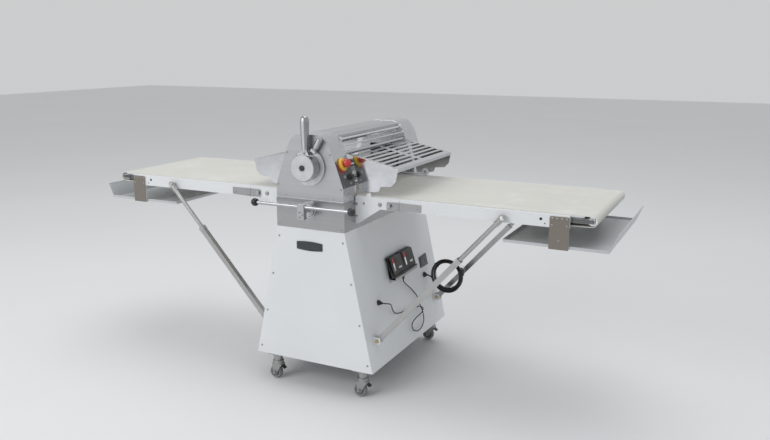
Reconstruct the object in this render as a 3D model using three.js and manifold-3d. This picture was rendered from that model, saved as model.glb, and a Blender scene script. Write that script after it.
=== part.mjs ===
// Dough sheeter on casters: a tapered cabinet carries a roller head with a conveyor table on each side.
// Millimetres, X along the tables, Y from the operator to the back, Z up from the floor.
import * as THREE from "three";
import { mergeVertices } from "three/addons/utils/BufferGeometryUtils.js";
import Module from "manifold-3d";

const wasm = await Module();
wasm.setup();

// ---- driving dimensions -------------------------------------------------------------------------
const GAP = 0.3; // air between two pieces that touch
const SHEET = 3; // folded sheet thickness
const SIDES = { left: -1, right: 1 };
const ENDS = { front: -1, rear: 1 };

// Cabinet: a trapezoid seen from the front, with upright front and rear faces.
const CAB_BOTTOM_Z = 131;
const CAB_TOP_Z = 754;
const CAB_BOTTOM_X = 304;
const CAB_TOP_X = 171.5;
const DEPTH = 420; // half depth of the cabinet, the casing and the front housing
const REAR_FACE_Y = DEPTH + 22; // the rear housing covers the drive and stands out further
const CAB_SLOPE = (CAB_BOTTOM_X - CAB_TOP_X) / (CAB_TOP_Z - CAB_BOTTOM_Z);
const FRAME_TUBE_W = 40;
const FRAME_TUBE_H = 30;
const CASTER_PLATE_T = 4;

// Width of the dough path: half of each belt. The rollers, beds, rails and housings follow it.
const BELT_HALF = 300;

// Roller head.
const CASING_X = 172;
const CASING_TOP_Z = 882;
const SADDLE_Z = 805; // floor of the gap between the two bearing towers
const HEAD_INNER_Y = BELT_HALF + 6; // inner wall of each side housing
const HOUSING_X = 169;
const HOUSING_KNEE_Z = 943;
const HOUSING_SHOULDER = [115, 1093];
const HOUSING_TOP_Z = 1168;
const HOUSING_TOP_X = 45;
const WINDOW = { x: 80, z0: 895, z1: 1050 }; // opening in the inner walls for the roller carrier
const COVER_X = 78;
const ARC_STEPS = 8;

// Sheeting rollers.
const ROLLER_R = 40;
const ROLLER_HALF = BELT_HALF - 2;
const JOURNAL_R = 12;
const JOURNAL_CLEAR = 0.3;
const LOWER_ROLLER_Z = 864.6;
const ROLLER_GAP = 10.4; // dough gap at rest
const UPPER_ROLLER_Z = LOWER_ROLLER_Z + 2 * ROLLER_R + ROLLER_GAP;

// Belts and tables.
const BELT_TOP_Z = 903.6;
const BELT_T = 2;
const BELT_LOOP = 44; // height over both runs
const BELT_MID_Z = BELT_TOP_Z - BELT_LOOP / 2;
const BELT_ROLLER_R = BELT_LOOP / 2 - BELT_T - GAP;
const TABLE_END_X = 1206;
const END_ROLLER_X = TABLE_END_X - BELT_LOOP / 2;
const DRIVE_ROLLER_X = 68;
const FOLD_X = 384;
const RAIL_INNER_Y = BELT_HALF + 5;
const RAIL_WEB = 16; // width of a rail's section
const RAIL_OUTER_Y = RAIL_INNER_Y + RAIL_WEB;
const RAIL_BOTTOM_Z = 851;
const RAIL_TOP_Z = 901;
const RAIL_END_X = TABLE_END_X - 103;
const BED_T = 3;
const PIN_R = 6;
const BED_HALF = BELT_HALF - 2; // the bed between the housings
const BELT_ROLLER_HALF = BELT_HALF - 15;
const BELT_ROLLER_REACH = BELT_HALF - 3; // pin ends
const ARM_Y = [BELT_HALF - 12, BELT_HALF - 6]; // arms inside the belt loop that carry its roller
const ARM_Z = [BELT_MID_Z - 10.6, BELT_MID_Z + 10.4];
const CROSS_BAR_Z = BELT_TOP_Z - BELT_LOOP + BELT_T + 4.4; // underside of the bars below the bed

// Catch trays and their hangers.
const HANGER_X = [TABLE_END_X - 178, TABLE_END_X - 102];
const HANGER_BOTTOM_Z = 766;
const HANGER_TOP_Z = 897;
const TRAY_X = [TABLE_END_X - 366, TABLE_END_X + 52];
const TRAY_HALF = BELT_HALF + 16;
const TRAY_LIP_X = TABLE_END_X + 80;
const TRAY_LIP_Z = 838;
const TRAY_T = 2;
const TRAY_SIDE_H = 12;

// Telescopic struts.
const STRUT_Y = RAIL_OUTER_Y + 20;
const STRUT_FOOT = [294.5, 263];
const STRUT_HEAD = [842, 872];
const STRUT_OUTER_W = 24;
const STRUT_WALL = 2;
const STRUT_INNER_R = 9.5;
const STRUT_OUTER_LEN = 560;
const STRUT_INNER_TAIL = 335; // length of the inner tube hidden at rest
const EYE_R = 15;

// Guards.
const GUARD_PIVOT = [108, 1083.5];
const GUARD_PLATE = [
  [112, 1082.2],
  [368, 1027],
];
const GUARD_HALF = HEAD_INNER_Y - 3;
const GUARD_T = 2;
const GUARD_LIP = 14;
const GUARD_ROD_R = 5;
const SLOT_ROWS = 7;

// Thickness lever and its dial.
const HUB_Z = 1031;
const HUB_R = 59;
const HUB_FRONT_Y = -DEPTH - 55;
const HUB_BACK_Y = -DEPTH - 10;
const LEVER_Y = -DEPTH - 26;
const LEVER_TOP_Z = 1250;
const DIAL_R = 82;
const DIAL_T = 8;
const STOP_Y = -DEPTH - 20;
const STOP_TILT = THREE.MathUtils.degToRad(29.5);

// Direction bar.
const BAR_Y = -DEPTH - 64;
const BAR_Z = 865.6;
const BAR_R = 8;
const BAR_HALF = 230;
const BALL_R = 18;
const BALL_X = 241.6;
const BOSS_Z = 843.5;
const BOSS_R = 30;

// Controls on the slanted side of the front housing.
const PANEL_NORMAL = [0.9409, 0.3387];
const ESTOP = { y: -DEPTH + 50, z: 1041 };
const START = { y: -HEAD_INNER_Y - 30, z: 985 };
const ESTOP_STEM_R = 11;
const START_STEM_R = 7;

// Foot switch hung on the right cabinet side.
const PEDAL_TILT = THREE.MathUtils.degToRad(23.5);
const PEDAL_UNIT = { w: 250, h: 102, t: 10, y: 6, top: [213.6, 571] };
const PEDAL_W = 114;
const HOLDER = { y: [-109, 135], z: [452, 575], shelf: 468, reach: 36, lip: 12 };

// Casters.
const WHEEL_R = 31.5;
const WHEEL_W = 24;
const WHEEL_X = 226;
const WHEEL_Y = DEPTH - 36;
const CASTER_TRAIL = 11;

// Rear-most and front-most faces set the shift that centres the machine on its origin.
const FRONT_FACE_Y = BAR_Y - BALL_R;
const SHIFT_Y = -(FRONT_FACE_Y + REAR_FACE_Y) / 2;

// ---- materials ----------------------------------------------------------------------------------
const paint = (color, roughness, metalness) => new THREE.MeshStandardMaterial({ color, roughness, metalness });
const whitePowder = () => paint(0xe6e9ea, 0.45, 0);
const stainless = () => paint(0xb9bdc0, 0.3, 1);
const chrome = () => paint(0xd8dadc, 0.1, 1);
const beltCream = () => paint(0xe3dfd3, 0.7, 0);
const black = () => paint(0x15161a, 0.4, 0);
const greySheet = () => paint(0xa9adb0, 0.5, 0.6);
const redPlastic = () => paint(0xc4161c, 0.35, 0);
const zinc = () => paint(0xa6a9ab, 0.4, 1);
const greyRubber = () => paint(0x7e8081, 0.8, 0);

// ---- solid helpers ------------------------------------------------------------------------------
function solid(geometry) {
  const bare = geometry.clone();
  bare.deleteAttribute("normal");
  bare.deleteAttribute("uv");
  const merged = mergeVertices(bare, 1e-4);
  const triVerts = new Uint32Array(merged.index.array);
  return new wasm.Manifold(
    new wasm.Mesh({ numProp: 3, vertProperties: merged.attributes.position.array, triVerts }),
  );
}

function geometryOf(manifold) {
  const mesh = manifold.getMesh();
  const positions = new Float32Array(mesh.numVert * 3);
  for (let i = 0; i < mesh.numVert; i++) {
    const start = i * mesh.numProp;
    positions.set(mesh.vertProperties.subarray(start, start + 3), i * 3);
  }
  return new THREE.BufferGeometry()
    .setAttribute("position", new THREE.BufferAttribute(positions, 3))
    .setIndex(new THREE.BufferAttribute(mesh.triVerts, 1));
}

const union = (pieces) => pieces.map(solid).reduce((a, b) => a.add(b));
const cut = (body, tools) => tools.map(solid).reduce((a, b) => a.subtract(b), body);

function box(x0, x1, y0, y1, z0, z1) {
  const g = new THREE.BoxGeometry(x1 - x0, y1 - y0, z1 - z0);
  return g.translate((x0 + x1) / 2, (y0 + y1) / 2, (z0 + z1) / 2);
}

// The same box mirrored to the given side and end of the machine.
function sideBox(side, x0, x1, y0, y1, z0, z1) {
  const a = side * x0;
  const b = side * x1;
  return box(Math.min(a, b), Math.max(a, b), y0, y1, z0, z1);
}

// Outline in X and Z, swept along Y from y0 to y1.
function prismXZ(points, y0, y1, curveSegments = 8) {
  const isShape = points instanceof THREE.Shape;
  const shape = isShape ? points : new THREE.Shape(points.map(([x, z]) => new THREE.Vector2(x, z)));
  const g = new THREE.ExtrudeGeometry(shape, { depth: y1 - y0, bevelEnabled: false, curveSegments });
  return g.rotateX(Math.PI / 2).translate(0, y1, 0);
}

const mirrored = (side, points) => points.map(([x, z]) => [side * x, z]);

function cylinderY(r, y0, y1, x, z, segments = 32) {
  return new THREE.CylinderGeometry(r, r, y1 - y0, segments).translate(x, (y0 + y1) / 2, z);
}

function cylinderZ(r, z0, z1, x, y, segments = 24) {
  const g = new THREE.CylinderGeometry(r, r, z1 - z0, segments).rotateX(Math.PI / 2);
  return g.translate(x, y, (z0 + z1) / 2);
}

const latheY = (profile, segments) =>
  new THREE.LatheGeometry(profile.map(([r, y]) => new THREE.Vector2(r, y)), segments);

const root = new THREE.Group();
const machine = new THREE.Group();
machine.position.y = SHIFT_Y;
root.add(machine);

function add(name, shape, material) {
  const geometry = shape.isBufferGeometry ? shape : geometryOf(shape);
  const mesh = new THREE.Mesh(geometry, material);
  mesh.name = name;
  machine.add(mesh);
  return mesh;
}

const cabinetX = (z) => CAB_TOP_X + CAB_SLOPE * (CAB_TOP_Z - z);

// ---- cabinet ------------------------------------------------------------------------------------
function baseFrame() {
  const inset = SHEET + 1;
  const topZ = CAB_BOTTOM_Z + FRAME_TUBE_H;
  const x = cabinetX(topZ) - inset;
  const y = DEPTH - inset;
  const pieces = [
    box(-x, x, -y, -y + FRAME_TUBE_W, CAB_BOTTOM_Z, topZ),
    box(-x, x, y - FRAME_TUBE_W, y, CAB_BOTTOM_Z, topZ),
    box(-x, -x + FRAME_TUBE_W, -y, y, CAB_BOTTOM_Z, topZ),
    box(x - FRAME_TUBE_W, x, -y, y, CAB_BOTTOM_Z, topZ),
  ];
  for (const side of Object.values(SIDES)) {
    for (const end of Object.values(ENDS)) {
      const cx = side * WHEEL_X + CASTER_TRAIL;
      const cy = end * WHEEL_Y;
      const z0 = CAB_BOTTOM_Z - CASTER_PLATE_T;
      pieces.push(box(cx - 38, cx + 38, cy - 33, cy + 33, z0, CAB_BOTTOM_Z + 1));
    }
  }
  return union(pieces);
}

function cabinetShell() {
  const outline = [
    [-CAB_BOTTOM_X, CAB_BOTTOM_Z],
    [CAB_BOTTOM_X, CAB_BOTTOM_Z],
    [CAB_TOP_X, CAB_TOP_Z],
    [-CAB_TOP_X, CAB_TOP_Z],
  ];
  const slant = SHEET * Math.hypot(1, CAB_SLOPE);
  const below = 20;
  const hollow = [
    [-CAB_BOTTOM_X + slant - CAB_SLOPE * below, CAB_BOTTOM_Z - below],
    [CAB_BOTTOM_X - slant + CAB_SLOPE * below, CAB_BOTTOM_Z - below],
    [cabinetX(CAB_TOP_Z - SHEET) - slant, CAB_TOP_Z - SHEET],
    [-cabinetX(CAB_TOP_Z - SHEET) + slant, CAB_TOP_Z - SHEET],
  ];
  const front = -DEPTH + SHEET + GAP;
  return cut(solid(prismXZ(outline, front, DEPTH)), [prismXZ(hollow, -DEPTH - 1, DEPTH - SHEET)]);
}

function cabinetFrontPanel() {
  const outline = [
    [-CAB_BOTTOM_X, CAB_BOTTOM_Z],
    [CAB_BOTTOM_X, CAB_BOTTOM_Z],
    [CAB_TOP_X, CAB_TOP_Z],
    [-CAB_TOP_X, CAB_TOP_Z],
  ];
  return prismXZ(outline, -DEPTH, -DEPTH + SHEET);
}

// ---- roller head --------------------------------------------------------------------------------
function lowerCasing() {
  const y = DEPTH;
  const inner = HEAD_INNER_Y;
  const z0 = CAB_TOP_Z + GAP;
  const body = union([
    box(-CASING_X, CASING_X, -y, y, z0, SADDLE_Z),
    box(-CASING_X, CASING_X, -y, -inner, z0, CASING_TOP_Z),
    box(-CASING_X, CASING_X, inner, y, z0, CASING_TOP_Z),
    cylinderY(BOSS_R, -y - 7, -y + 1, 0, BOSS_Z, 32),
  ]);
  const x = CASING_X - SHEET;
  const tools = [
    box(-x, x, -y + SHEET, y - SHEET, z0 - 1, SADDLE_Z - SHEET),
    box(-x, x, -y + SHEET, -inner - SHEET, z0 - 1, CASING_TOP_Z - SHEET),
    box(-x, x, inner + SHEET, y - SHEET, z0 - 1, CASING_TOP_Z - SHEET),
    cylinderY(JOURNAL_R + JOURNAL_CLEAR, -y + SHEET + 1, y - SHEET - 1, 0, LOWER_ROLLER_Z, 24),
    cylinderY(10 + GAP, -y - 21, -y + 10, 0, BOSS_Z, 24),
  ];
  return cut(body, tools);
}

function housingShape(inset) {
  const [sx, sz] = HOUSING_SHOULDER;
  const z0 = CASING_TOP_Z + GAP + inset;
  const x = HOUSING_X - inset;
  const shoulder = sx - inset;
  const top = HOUSING_TOP_Z - inset;
  const shape = new THREE.Shape();
  shape.moveTo(-x, z0);
  shape.lineTo(x, z0);
  shape.lineTo(x, HOUSING_KNEE_Z);
  shape.lineTo(shoulder, sz);
  shape.bezierCurveTo(shoulder - 12, sz + 40, HOUSING_TOP_X + 30, top, HOUSING_TOP_X, top);
  shape.lineTo(-HOUSING_TOP_X, top);
  shape.bezierCurveTo(-HOUSING_TOP_X - 30, top, -shoulder + 12, sz + 40, -shoulder, sz);
  shape.lineTo(-x, HOUSING_KNEE_Z);
  return shape;
}

const windowTool = (y0, y1) => box(-WINDOW.x, WINDOW.x, y0, y1, WINDOW.z0, WINDOW.z1);

function frontHousing() {
  const y0 = -DEPTH + SHEET + GAP;
  const y1 = -HEAD_INNER_Y;
  const body = solid(prismXZ(housingShape(0), y0, y1, ARC_STEPS));
  const hollow = prismXZ(housingShape(SHEET), y0 - 1, y1 - SHEET, ARC_STEPS);
  return cut(body, [hollow, windowTool(y1 - 10, y1 + 10), ...panelBores()]);
}

function rearHousing() {
  const y0 = HEAD_INNER_Y;
  const body = solid(prismXZ(housingShape(0), y0, REAR_FACE_Y, ARC_STEPS));
  const hollow = prismXZ(housingShape(SHEET), y0 + SHEET, REAR_FACE_Y - SHEET, ARC_STEPS);
  return cut(body, [hollow, windowTool(y0 - 10, y0 + 10)]);
}

function frontCoverPlate() {
  const plate = solid(prismXZ(housingShape(0), -DEPTH, -DEPTH + SHEET, ARC_STEPS));
  return cut(plate, [cylinderY(JOURNAL_R + JOURNAL_CLEAR, -DEPTH - 1, -DEPTH + 10, 0, HUB_Z, 24)]);
}

function topCover() {
  const y = HEAD_INNER_Y - GAP;
  const outer = [
    [-COVER_X, 1140],
    [-COVER_X, 1156],
    [-48, 1167],
    [48, 1167],
    [COVER_X, 1156],
    [COVER_X, 1140],
    [COVER_X - SHEET, 1140],
    [COVER_X - SHEET, 1153.8],
    [47.5, 1164],
    [-47.5, 1164],
    [-COVER_X + SHEET, 1153.8],
    [-COVER_X + SHEET, 1140],
  ];
  return prismXZ(outer, -y, y);
}

// Bearing block in each housing, joined by the two scraper bars, so that they rise together.
function rollerCarrier() {
  const z = UPPER_ROLLER_Z;
  const pieces = [];
  for (const end of Object.values(ENDS)) {
    const a = end * (HEAD_INNER_Y + SHEET + 1);
    const b = end * (HEAD_INNER_Y + 60);
    pieces.push(box(-66, 66, Math.min(a, b), Math.max(a, b), z - 24, z + 50));
  }
  const bar = HEAD_INNER_Y + 10;
  for (const side of Object.values(SIDES)) {
    const blade = mirrored(side, [
      [35.4, z + 21],
      [38, z + 19.5],
      [62, z + 30],
      [66, z + 30],
      [66, z + 42],
      [54, z + 42],
      [54, z + 33],
    ]);
    pieces.push(prismXZ(blade, -ROLLER_HALF + 4, ROLLER_HALF - 4));
    pieces.push(sideBox(side, 54, 66, -bar, bar, z + 30, z + 42));
  }
  const hole = cylinderY(JOURNAL_R + JOURNAL_CLEAR, -HEAD_INNER_Y - 61, HEAD_INNER_Y + 61, 0, z, 24);
  return cut(union(pieces), [hole]);
}

const rollerProfile = (r, half, pin, reach) => [
  [0, -reach],
  [pin, -reach],
  [pin, -half],
  [r - 1.5, -half],
  [r, -half + 1.5],
  [r, half - 1.5],
  [r - 1.5, half],
  [pin, half],
  [pin, reach],
  [0, reach],
];

function sheetingRoller(z) {
  return latheY(rollerProfile(ROLLER_R, ROLLER_HALF, JOURNAL_R, HEAD_INNER_Y + 54), 32).translate(0, 0, z);
}

const beltRoller = (x) =>
  latheY(rollerProfile(BELT_ROLLER_R, BELT_ROLLER_HALF, PIN_R, BELT_ROLLER_REACH), 20).translate(x, 0, BELT_MID_Z);

// ---- thickness lever, dial and stop ---------------------------------------------------------------
function thicknessLever() {
  const hub = latheY(
    [
      [0, HUB_FRONT_Y],
      [HUB_R - 3, HUB_FRONT_Y],
      [HUB_R, HUB_FRONT_Y + 3],
      [HUB_R, HUB_BACK_Y],
      [JOURNAL_R, HUB_BACK_Y],
      [JOURNAL_R, -DEPTH + 18],
      [0, -DEPTH + 18],
    ],
    40,
  ).translate(0, 0, HUB_Z);
  const arm = latheY(
    [
      [0, 30],
      [14.6, 30],
      [14.4, 80],
      [16, 110],
      [18, 145],
      [19.4, 192],
      [18.6, 204],
      [14.5, 213],
      [8, 217.8],
      [0, LEVER_TOP_Z - HUB_Z],
    ],
    28,
  );
  const flare = [
    [-36, 38],
    [36, 38],
    [22, 58],
    [14, 75],
    [-14, 75],
    [-22, 58],
  ];
  // The hub's face comes to a point under the arm.
  const point = [
    [-38, 44],
    [38, 44],
    [0, HUB_R + 7],
  ];
  return union([
    hub,
    arm.rotateX(Math.PI / 2).translate(0, LEVER_Y, HUB_Z),
    prismXZ(flare, LEVER_Y - 12, LEVER_Y + 12).translate(0, 0, HUB_Z),
    prismXZ(point, HUB_FRONT_Y + 2, LEVER_Y).translate(0, 0, HUB_Z),
  ]);
}

// Lengths along the stop's own axis, counted from the hub's centre.
const alongStop = (g) => g.rotateY(STOP_TILT).translate(0, 0, HUB_Z);

function dialRing() {
  const y0 = -DEPTH - GAP - DIAL_T;
  const disc = cylinderY(DIAL_R, y0, -DEPTH - GAP, 0, HUB_Z, 48);
  const lug = alongStop(box(-12, 12, STOP_Y - 12, -DEPTH - GAP, DIAL_R - 6, DIAL_R + 6));
  const bore = cylinderY(JOURNAL_R + JOURNAL_CLEAR, y0 - 1, -DEPTH, 0, HUB_Z, 24);
  const pinHole = cylinderZ(4 + GAP, DIAL_R - 4, DIAL_R + 9, 0, STOP_Y, 16);
  return cut(union([disc, lug]), [bore, alongStop(pinHole)]);
}

function stopKnob() {
  const profile = [
    [0, DIAL_R - 3],
    [4, DIAL_R - 3],
    [4, DIAL_R + 6.5],
    [10, DIAL_R + 6.5],
    [10, 95],
    [13, 99],
    [13, 138],
    [11, 141],
    [0, 141],
  ];
  return alongStop(latheY(profile, 20).rotateX(Math.PI / 2).translate(0, STOP_Y, 0));
}

// ---- direction bar --------------------------------------------------------------------------------
function directionBar() {
  return union([
    new THREE.CylinderGeometry(BAR_R, BAR_R, 2 * BAR_HALF, 20).rotateZ(Math.PI / 2).translate(0, BAR_Y, BAR_Z),
    box(-16.5, 16.5, BAR_Y - 12, BAR_Y + 12, BOSS_Z - 32.5, BOSS_Z + 32.5),
    cylinderY(10, BAR_Y + 11, -DEPTH + 9, 0, BOSS_Z, 24),
  ]);
}

function ballKnob(side) {
  const ball = new THREE.SphereGeometry(BALL_R, 16, 12).translate(side * BALL_X, BAR_Y, BAR_Z);
  const start = BAR_HALF + GAP;
  return cut(solid(ball), [sideBox(side, start - 20, start, BAR_Y - 20, BAR_Y + 20, BAR_Z - 20, BAR_Z + 20)]);
}

// ---- guards ---------------------------------------------------------------------------------------
function guard(side) {
  const [[x0, z0], [x1, z1]] = GUARD_PLATE;
  const drop = GUARD_T;
  const plate = [
    [x0, z0],
    [x0, z0 - drop],
    [x1 - GUARD_T, z1 - drop],
    [x1 - GUARD_T, z1 - GUARD_LIP],
    [x1, z1 - GUARD_LIP],
    [x1, z1],
  ];
  const cheek = [
    [150, z0 + ((150 - x0) * (z1 - z0)) / (x1 - x0)],
    [186, 916],
    [242, 916],
    [278, 925],
    [286, 946],
    [336, 950],
    [358, 973],
    [x1, z1],
  ];
  const y = GUARD_HALF;
  const pieces = [
    prismXZ(mirrored(side, plate), -y, y),
    prismXZ(mirrored(side, cheek), -y, -y + GUARD_T),
    prismXZ(mirrored(side, cheek), y - GUARD_T, y),
    cylinderY(GUARD_ROD_R, -HEAD_INNER_Y + GAP, HEAD_INNER_Y - GAP, side * GUARD_PIVOT[0], GUARD_PIVOT[1], 16),
  ];
  const slots = [];
  const pitch = (x1 - x0 - 34) / SLOT_ROWS;
  for (let row = 0; row < SLOT_ROWS; row++) {
    const a = x0 + 20 + row * pitch;
    for (const end of Object.values(ENDS)) {
      const inner = end * 14;
      const outer = end * (y - 22);
      const z = [z1 - GUARD_LIP + 1, z0 + 4];
      slots.push(sideBox(side, a, a + pitch * 0.55, Math.min(inner, outer), Math.max(inner, outer), ...z));
    }
  }
  return cut(union(pieces), slots);
}

// ---- controls -------------------------------------------------------------------------------------
// Places a turned piece with its axis along the slanted panel's normal, foot at the panel's face.
function onPanel(geometry, { y, z }) {
  const [sx, sz] = HOUSING_SHOULDER;
  const x = sx + ((sz - z) * (HOUSING_X - sx)) / (sz - HOUSING_KNEE_Z);
  const angle = -Math.atan2(PANEL_NORMAL[0], PANEL_NORMAL[1]);
  return geometry.rotateZ(angle).rotateX(Math.PI / 2).translate(x, y, z);
}

function panelBores() {
  const bore = (r, at) => onPanel(new THREE.CylinderGeometry(r + GAP, r + GAP, 30, 24), at);
  return [bore(ESTOP_STEM_R, ESTOP), bore(START_STEM_R, START)];
}

function controlPanel() {
  const along = (z) => {
    const [sx, sz] = HOUSING_SHOULDER;
    return sx + ((sz - z) * (HOUSING_X - sx)) / (sz - HOUSING_KNEE_Z);
  };
  const [nx, nz] = PANEL_NORMAL;
  const lift = (z, d) => [along(z) + nx * d, z + nz * d];
  const points = [lift(946, GAP), lift(946, 2 + GAP), lift(1056, 2 + GAP), lift(1056, GAP)];
  return cut(solid(prismXZ(points, -DEPTH + 4, -HEAD_INNER_Y - 2)), panelBores());
}

function emergencyStop() {
  const profile = [
    [0, 1],
    [ESTOP_STEM_R, 1],
    [ESTOP_STEM_R, 18],
    [16, 20],
    [19, 24],
    [19, 33],
    [16, 38],
    [10, 40],
    [0, 40.6],
  ];
  return onPanel(latheY(profile, 24), ESTOP);
}

function startButton() {
  const profile = [
    [0, 1],
    [START_STEM_R, 1],
    [START_STEM_R, 6],
    [10.5, 6],
    [10.5, 16],
    [9, 18],
    [0, 18.4],
  ];
  return onPanel(latheY(profile, 20), START);
}

// ---- conveyor tables ------------------------------------------------------------------------------
// One open-ended belt loop: top run, bend round a roller and bottom run, seen from the front.
function beltLoop(side, openX, rollerX) {
  const away = Math.sign(rollerX - openX);
  const r = BELT_LOOP / 2;
  const steps = 14;
  const arc = (radius) => {
    const points = [];
    for (let i = 0; i <= steps; i++) {
      const a = Math.PI / 2 - (Math.PI * i) / steps;
      points.push([rollerX + away * radius * Math.cos(a), BELT_MID_Z + radius * Math.sin(a)]);
    }
    return points;
  };
  const outer = arc(r);
  const inner = arc(r - BELT_T).reverse();
  const points = [
    [openX, BELT_MID_Z + r],
    ...outer,
    [openX, BELT_MID_Z - r],
    [openX, BELT_MID_Z - r + BELT_T],
    ...inner,
    [openX, BELT_MID_Z + r - BELT_T],
  ];
  return prismXZ(mirrored(side, points), -BELT_HALF, BELT_HALF);
}

function tableBracket(side) {
  const x0 = CASING_X + GAP;
  const x1 = FOLD_X - 0.5;
  const bedTop = BELT_TOP_Z - BELT_T - GAP;
  const gusset = [
    [x0, 780],
    [x0 + 14, 780],
    [296, RAIL_BOTTOM_Z + 2],
    [x0, RAIL_BOTTOM_Z + 2],
  ];
  const bedBottom = bedTop - BED_T;
  const pieces = [
    sideBox(side, 92, x0 + 2, -BED_HALF, BED_HALF, bedBottom, bedTop),
    sideBox(side, x0, x1, -RAIL_INNER_Y - 1, RAIL_INNER_Y + 1, bedBottom, bedTop),
  ];
  for (const end of Object.values(ENDS)) {
    const span = (a, b) => [Math.min(end * a, end * b), Math.max(end * a, end * b)];
    pieces.push(sideBox(side, x0, x1, ...span(RAIL_INNER_Y, RAIL_OUTER_Y), RAIL_BOTTOM_Z, RAIL_TOP_Z));
    pieces.push(sideBox(side, 56, x0 + 30, ...span(...ARM_Y), ...ARM_Z));
    pieces.push(sideBox(side, 100, x0 + 30, ...span(...ARM_Y), ARM_Z[0], bedBottom + 1));
    pieces.push(prismXZ(mirrored(side, gusset), ...span(RAIL_OUTER_Y - SHEET, RAIL_OUTER_Y)));
  }
  const hole = cylinderY(PIN_R + GAP, -BELT_HALF, BELT_HALF, side * DRIVE_ROLLER_X, BELT_MID_Z, 20);
  return cut(union(pieces), [hole]);
}

function tableFrame(side) {
  const x0 = FOLD_X + 0.5;
  const bedTop = BELT_TOP_Z - BELT_T - GAP;
  const bedBottom = bedTop - BED_T;
  const [h0, h1] = HANGER_X;
  const pieces = [
    sideBox(side, x0, END_ROLLER_X - 28, -RAIL_INNER_Y - 1, RAIL_INNER_Y + 1, bedBottom, bedTop),
    sideBox(side, h0, h1, -RAIL_OUTER_Y - SHEET, RAIL_OUTER_Y + SHEET, HANGER_BOTTOM_Z, HANGER_BOTTOM_Z + SHEET),
  ];
  for (const at of [600, 800, 1000]) {
    pieces.push(sideBox(side, at, at + 25, -RAIL_INNER_Y - 1, RAIL_INNER_Y + 1, CROSS_BAR_Z, bedBottom + 1));
  }
  for (const end of Object.values(ENDS)) {
    const span = (a, b) => [Math.min(end * a, end * b), Math.max(end * a, end * b)];
    pieces.push(sideBox(side, x0, RAIL_END_X, ...span(RAIL_INNER_Y, RAIL_OUTER_Y), RAIL_BOTTOM_Z, RAIL_TOP_Z));
    const hanger = span(RAIL_OUTER_Y - 1, RAIL_OUTER_Y + SHEET);
    pieces.push(sideBox(side, h0, h1, ...hanger, HANGER_BOTTOM_Z, HANGER_TOP_Z));
    pieces.push(sideBox(side, END_ROLLER_X - 110, END_ROLLER_X + 10, ...span(...ARM_Y), ...ARM_Z));
    pieces.push(sideBox(side, END_ROLLER_X - 110, END_ROLLER_X - 36, ...span(...ARM_Y), ARM_Z[0], bedBottom + 1));
  }
  const hole = cylinderY(PIN_R + GAP, -BELT_HALF, BELT_HALF, side * END_ROLLER_X, BELT_MID_Z, 20);
  return cut(union(pieces), [hole]);
}

function catchTray(side) {
  const [x0, x1] = TRAY_X;
  const z0 = HANGER_BOTTOM_Z + SHEET + GAP;
  const sheet = [
    [x0, z0],
    [x1, z0],
    [TRAY_LIP_X, TRAY_LIP_Z],
    [TRAY_LIP_X - TRAY_T, TRAY_LIP_Z + 1],
    [x1 - TRAY_T, z0 + TRAY_T],
    [x0 + TRAY_T, z0 + TRAY_T],
    [x0 + TRAY_T, z0 + TRAY_SIDE_H],
    [x0, z0 + TRAY_SIDE_H],
  ];
  const y = TRAY_HALF;
  return union([
    prismXZ(mirrored(side, sheet), -y, y),
    sideBox(side, x0, x1, -y, -y + TRAY_T, z0, z0 + TRAY_SIDE_H),
    sideBox(side, x0, x1, y - TRAY_T, y, z0, z0 + TRAY_SIDE_H),
  ]);
}

function latchKnob(side) {
  const y0 = -RAIL_OUTER_Y - 16;
  const profile = [
    [0, y0],
    [7, y0],
    [9, y0 + 2],
    [9, y0 + 8],
    [5, y0 + 10],
    [5, -RAIL_OUTER_Y - 0.6],
    [0, -RAIL_OUTER_Y - 0.6],
  ];
  return latheY(profile, 16).translate(side * 338, 0, 871);
}

// ---- struts ---------------------------------------------------------------------------------------
const strutAngle = Math.atan2(STRUT_HEAD[1] - STRUT_FOOT[1], STRUT_HEAD[0] - STRUT_FOOT[0]);
const strutLength = Math.hypot(STRUT_HEAD[0] - STRUT_FOOT[0], STRUT_HEAD[1] - STRUT_FOOT[1]);

// Pieces are drawn along +X from the strut's foot pivot, then leaned to the strut's angle.
function placeStrut(geometry, side, end) {
  const leaned = geometry.rotateY(-strutAngle).translate(STRUT_FOOT[0], end * STRUT_Y, STRUT_FOOT[1]);
  return side > 0 ? leaned : leaned.rotateZ(Math.PI).translate(0, 2 * end * STRUT_Y, 0);
}

function strutOuter(side, end) {
  const h = STRUT_OUTER_W / 2;
  const bore = h - STRUT_WALL;
  const place = (g) => placeStrut(g, side, end);
  const body = union([place(box(-10, STRUT_OUTER_LEN, -h, h, -h, h))]);
  return cut(body, [
    place(box(22, STRUT_OUTER_LEN + 1, -bore, bore, -bore, bore)),
    place(cylinderY(5, -h - 1, h + 1, 0, 0, 20)),
  ]);
}

function strutInner(side, end) {
  const start = STRUT_OUTER_LEN - STRUT_INNER_TAIL;
  const stop = strutLength - 8;
  const rod = new THREE.CylinderGeometry(STRUT_INNER_R, STRUT_INNER_R, stop - start, 24).rotateZ(Math.PI / 2);
  // The spacer reaches from the eye to the rail, on the inner side of the strut.
  const towardRail = side > 0 ? -end : end;
  const spacer = [towardRail * 3, towardRail * (STRUT_Y - RAIL_OUTER_Y - 0.6)];
  const pieces = [
    rod.translate((start + stop) / 2, 0, 0),
    box(stop - 30, strutLength, -4, 4, -EYE_R + 2, EYE_R - 2),
    cylinderY(EYE_R, -4, 4, strutLength, 0, 28),
    cylinderY(8, Math.min(...spacer), Math.max(...spacer), strutLength, 0, 20),
  ];
  return union(pieces.map((g) => placeStrut(g, side, end)));
}

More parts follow.
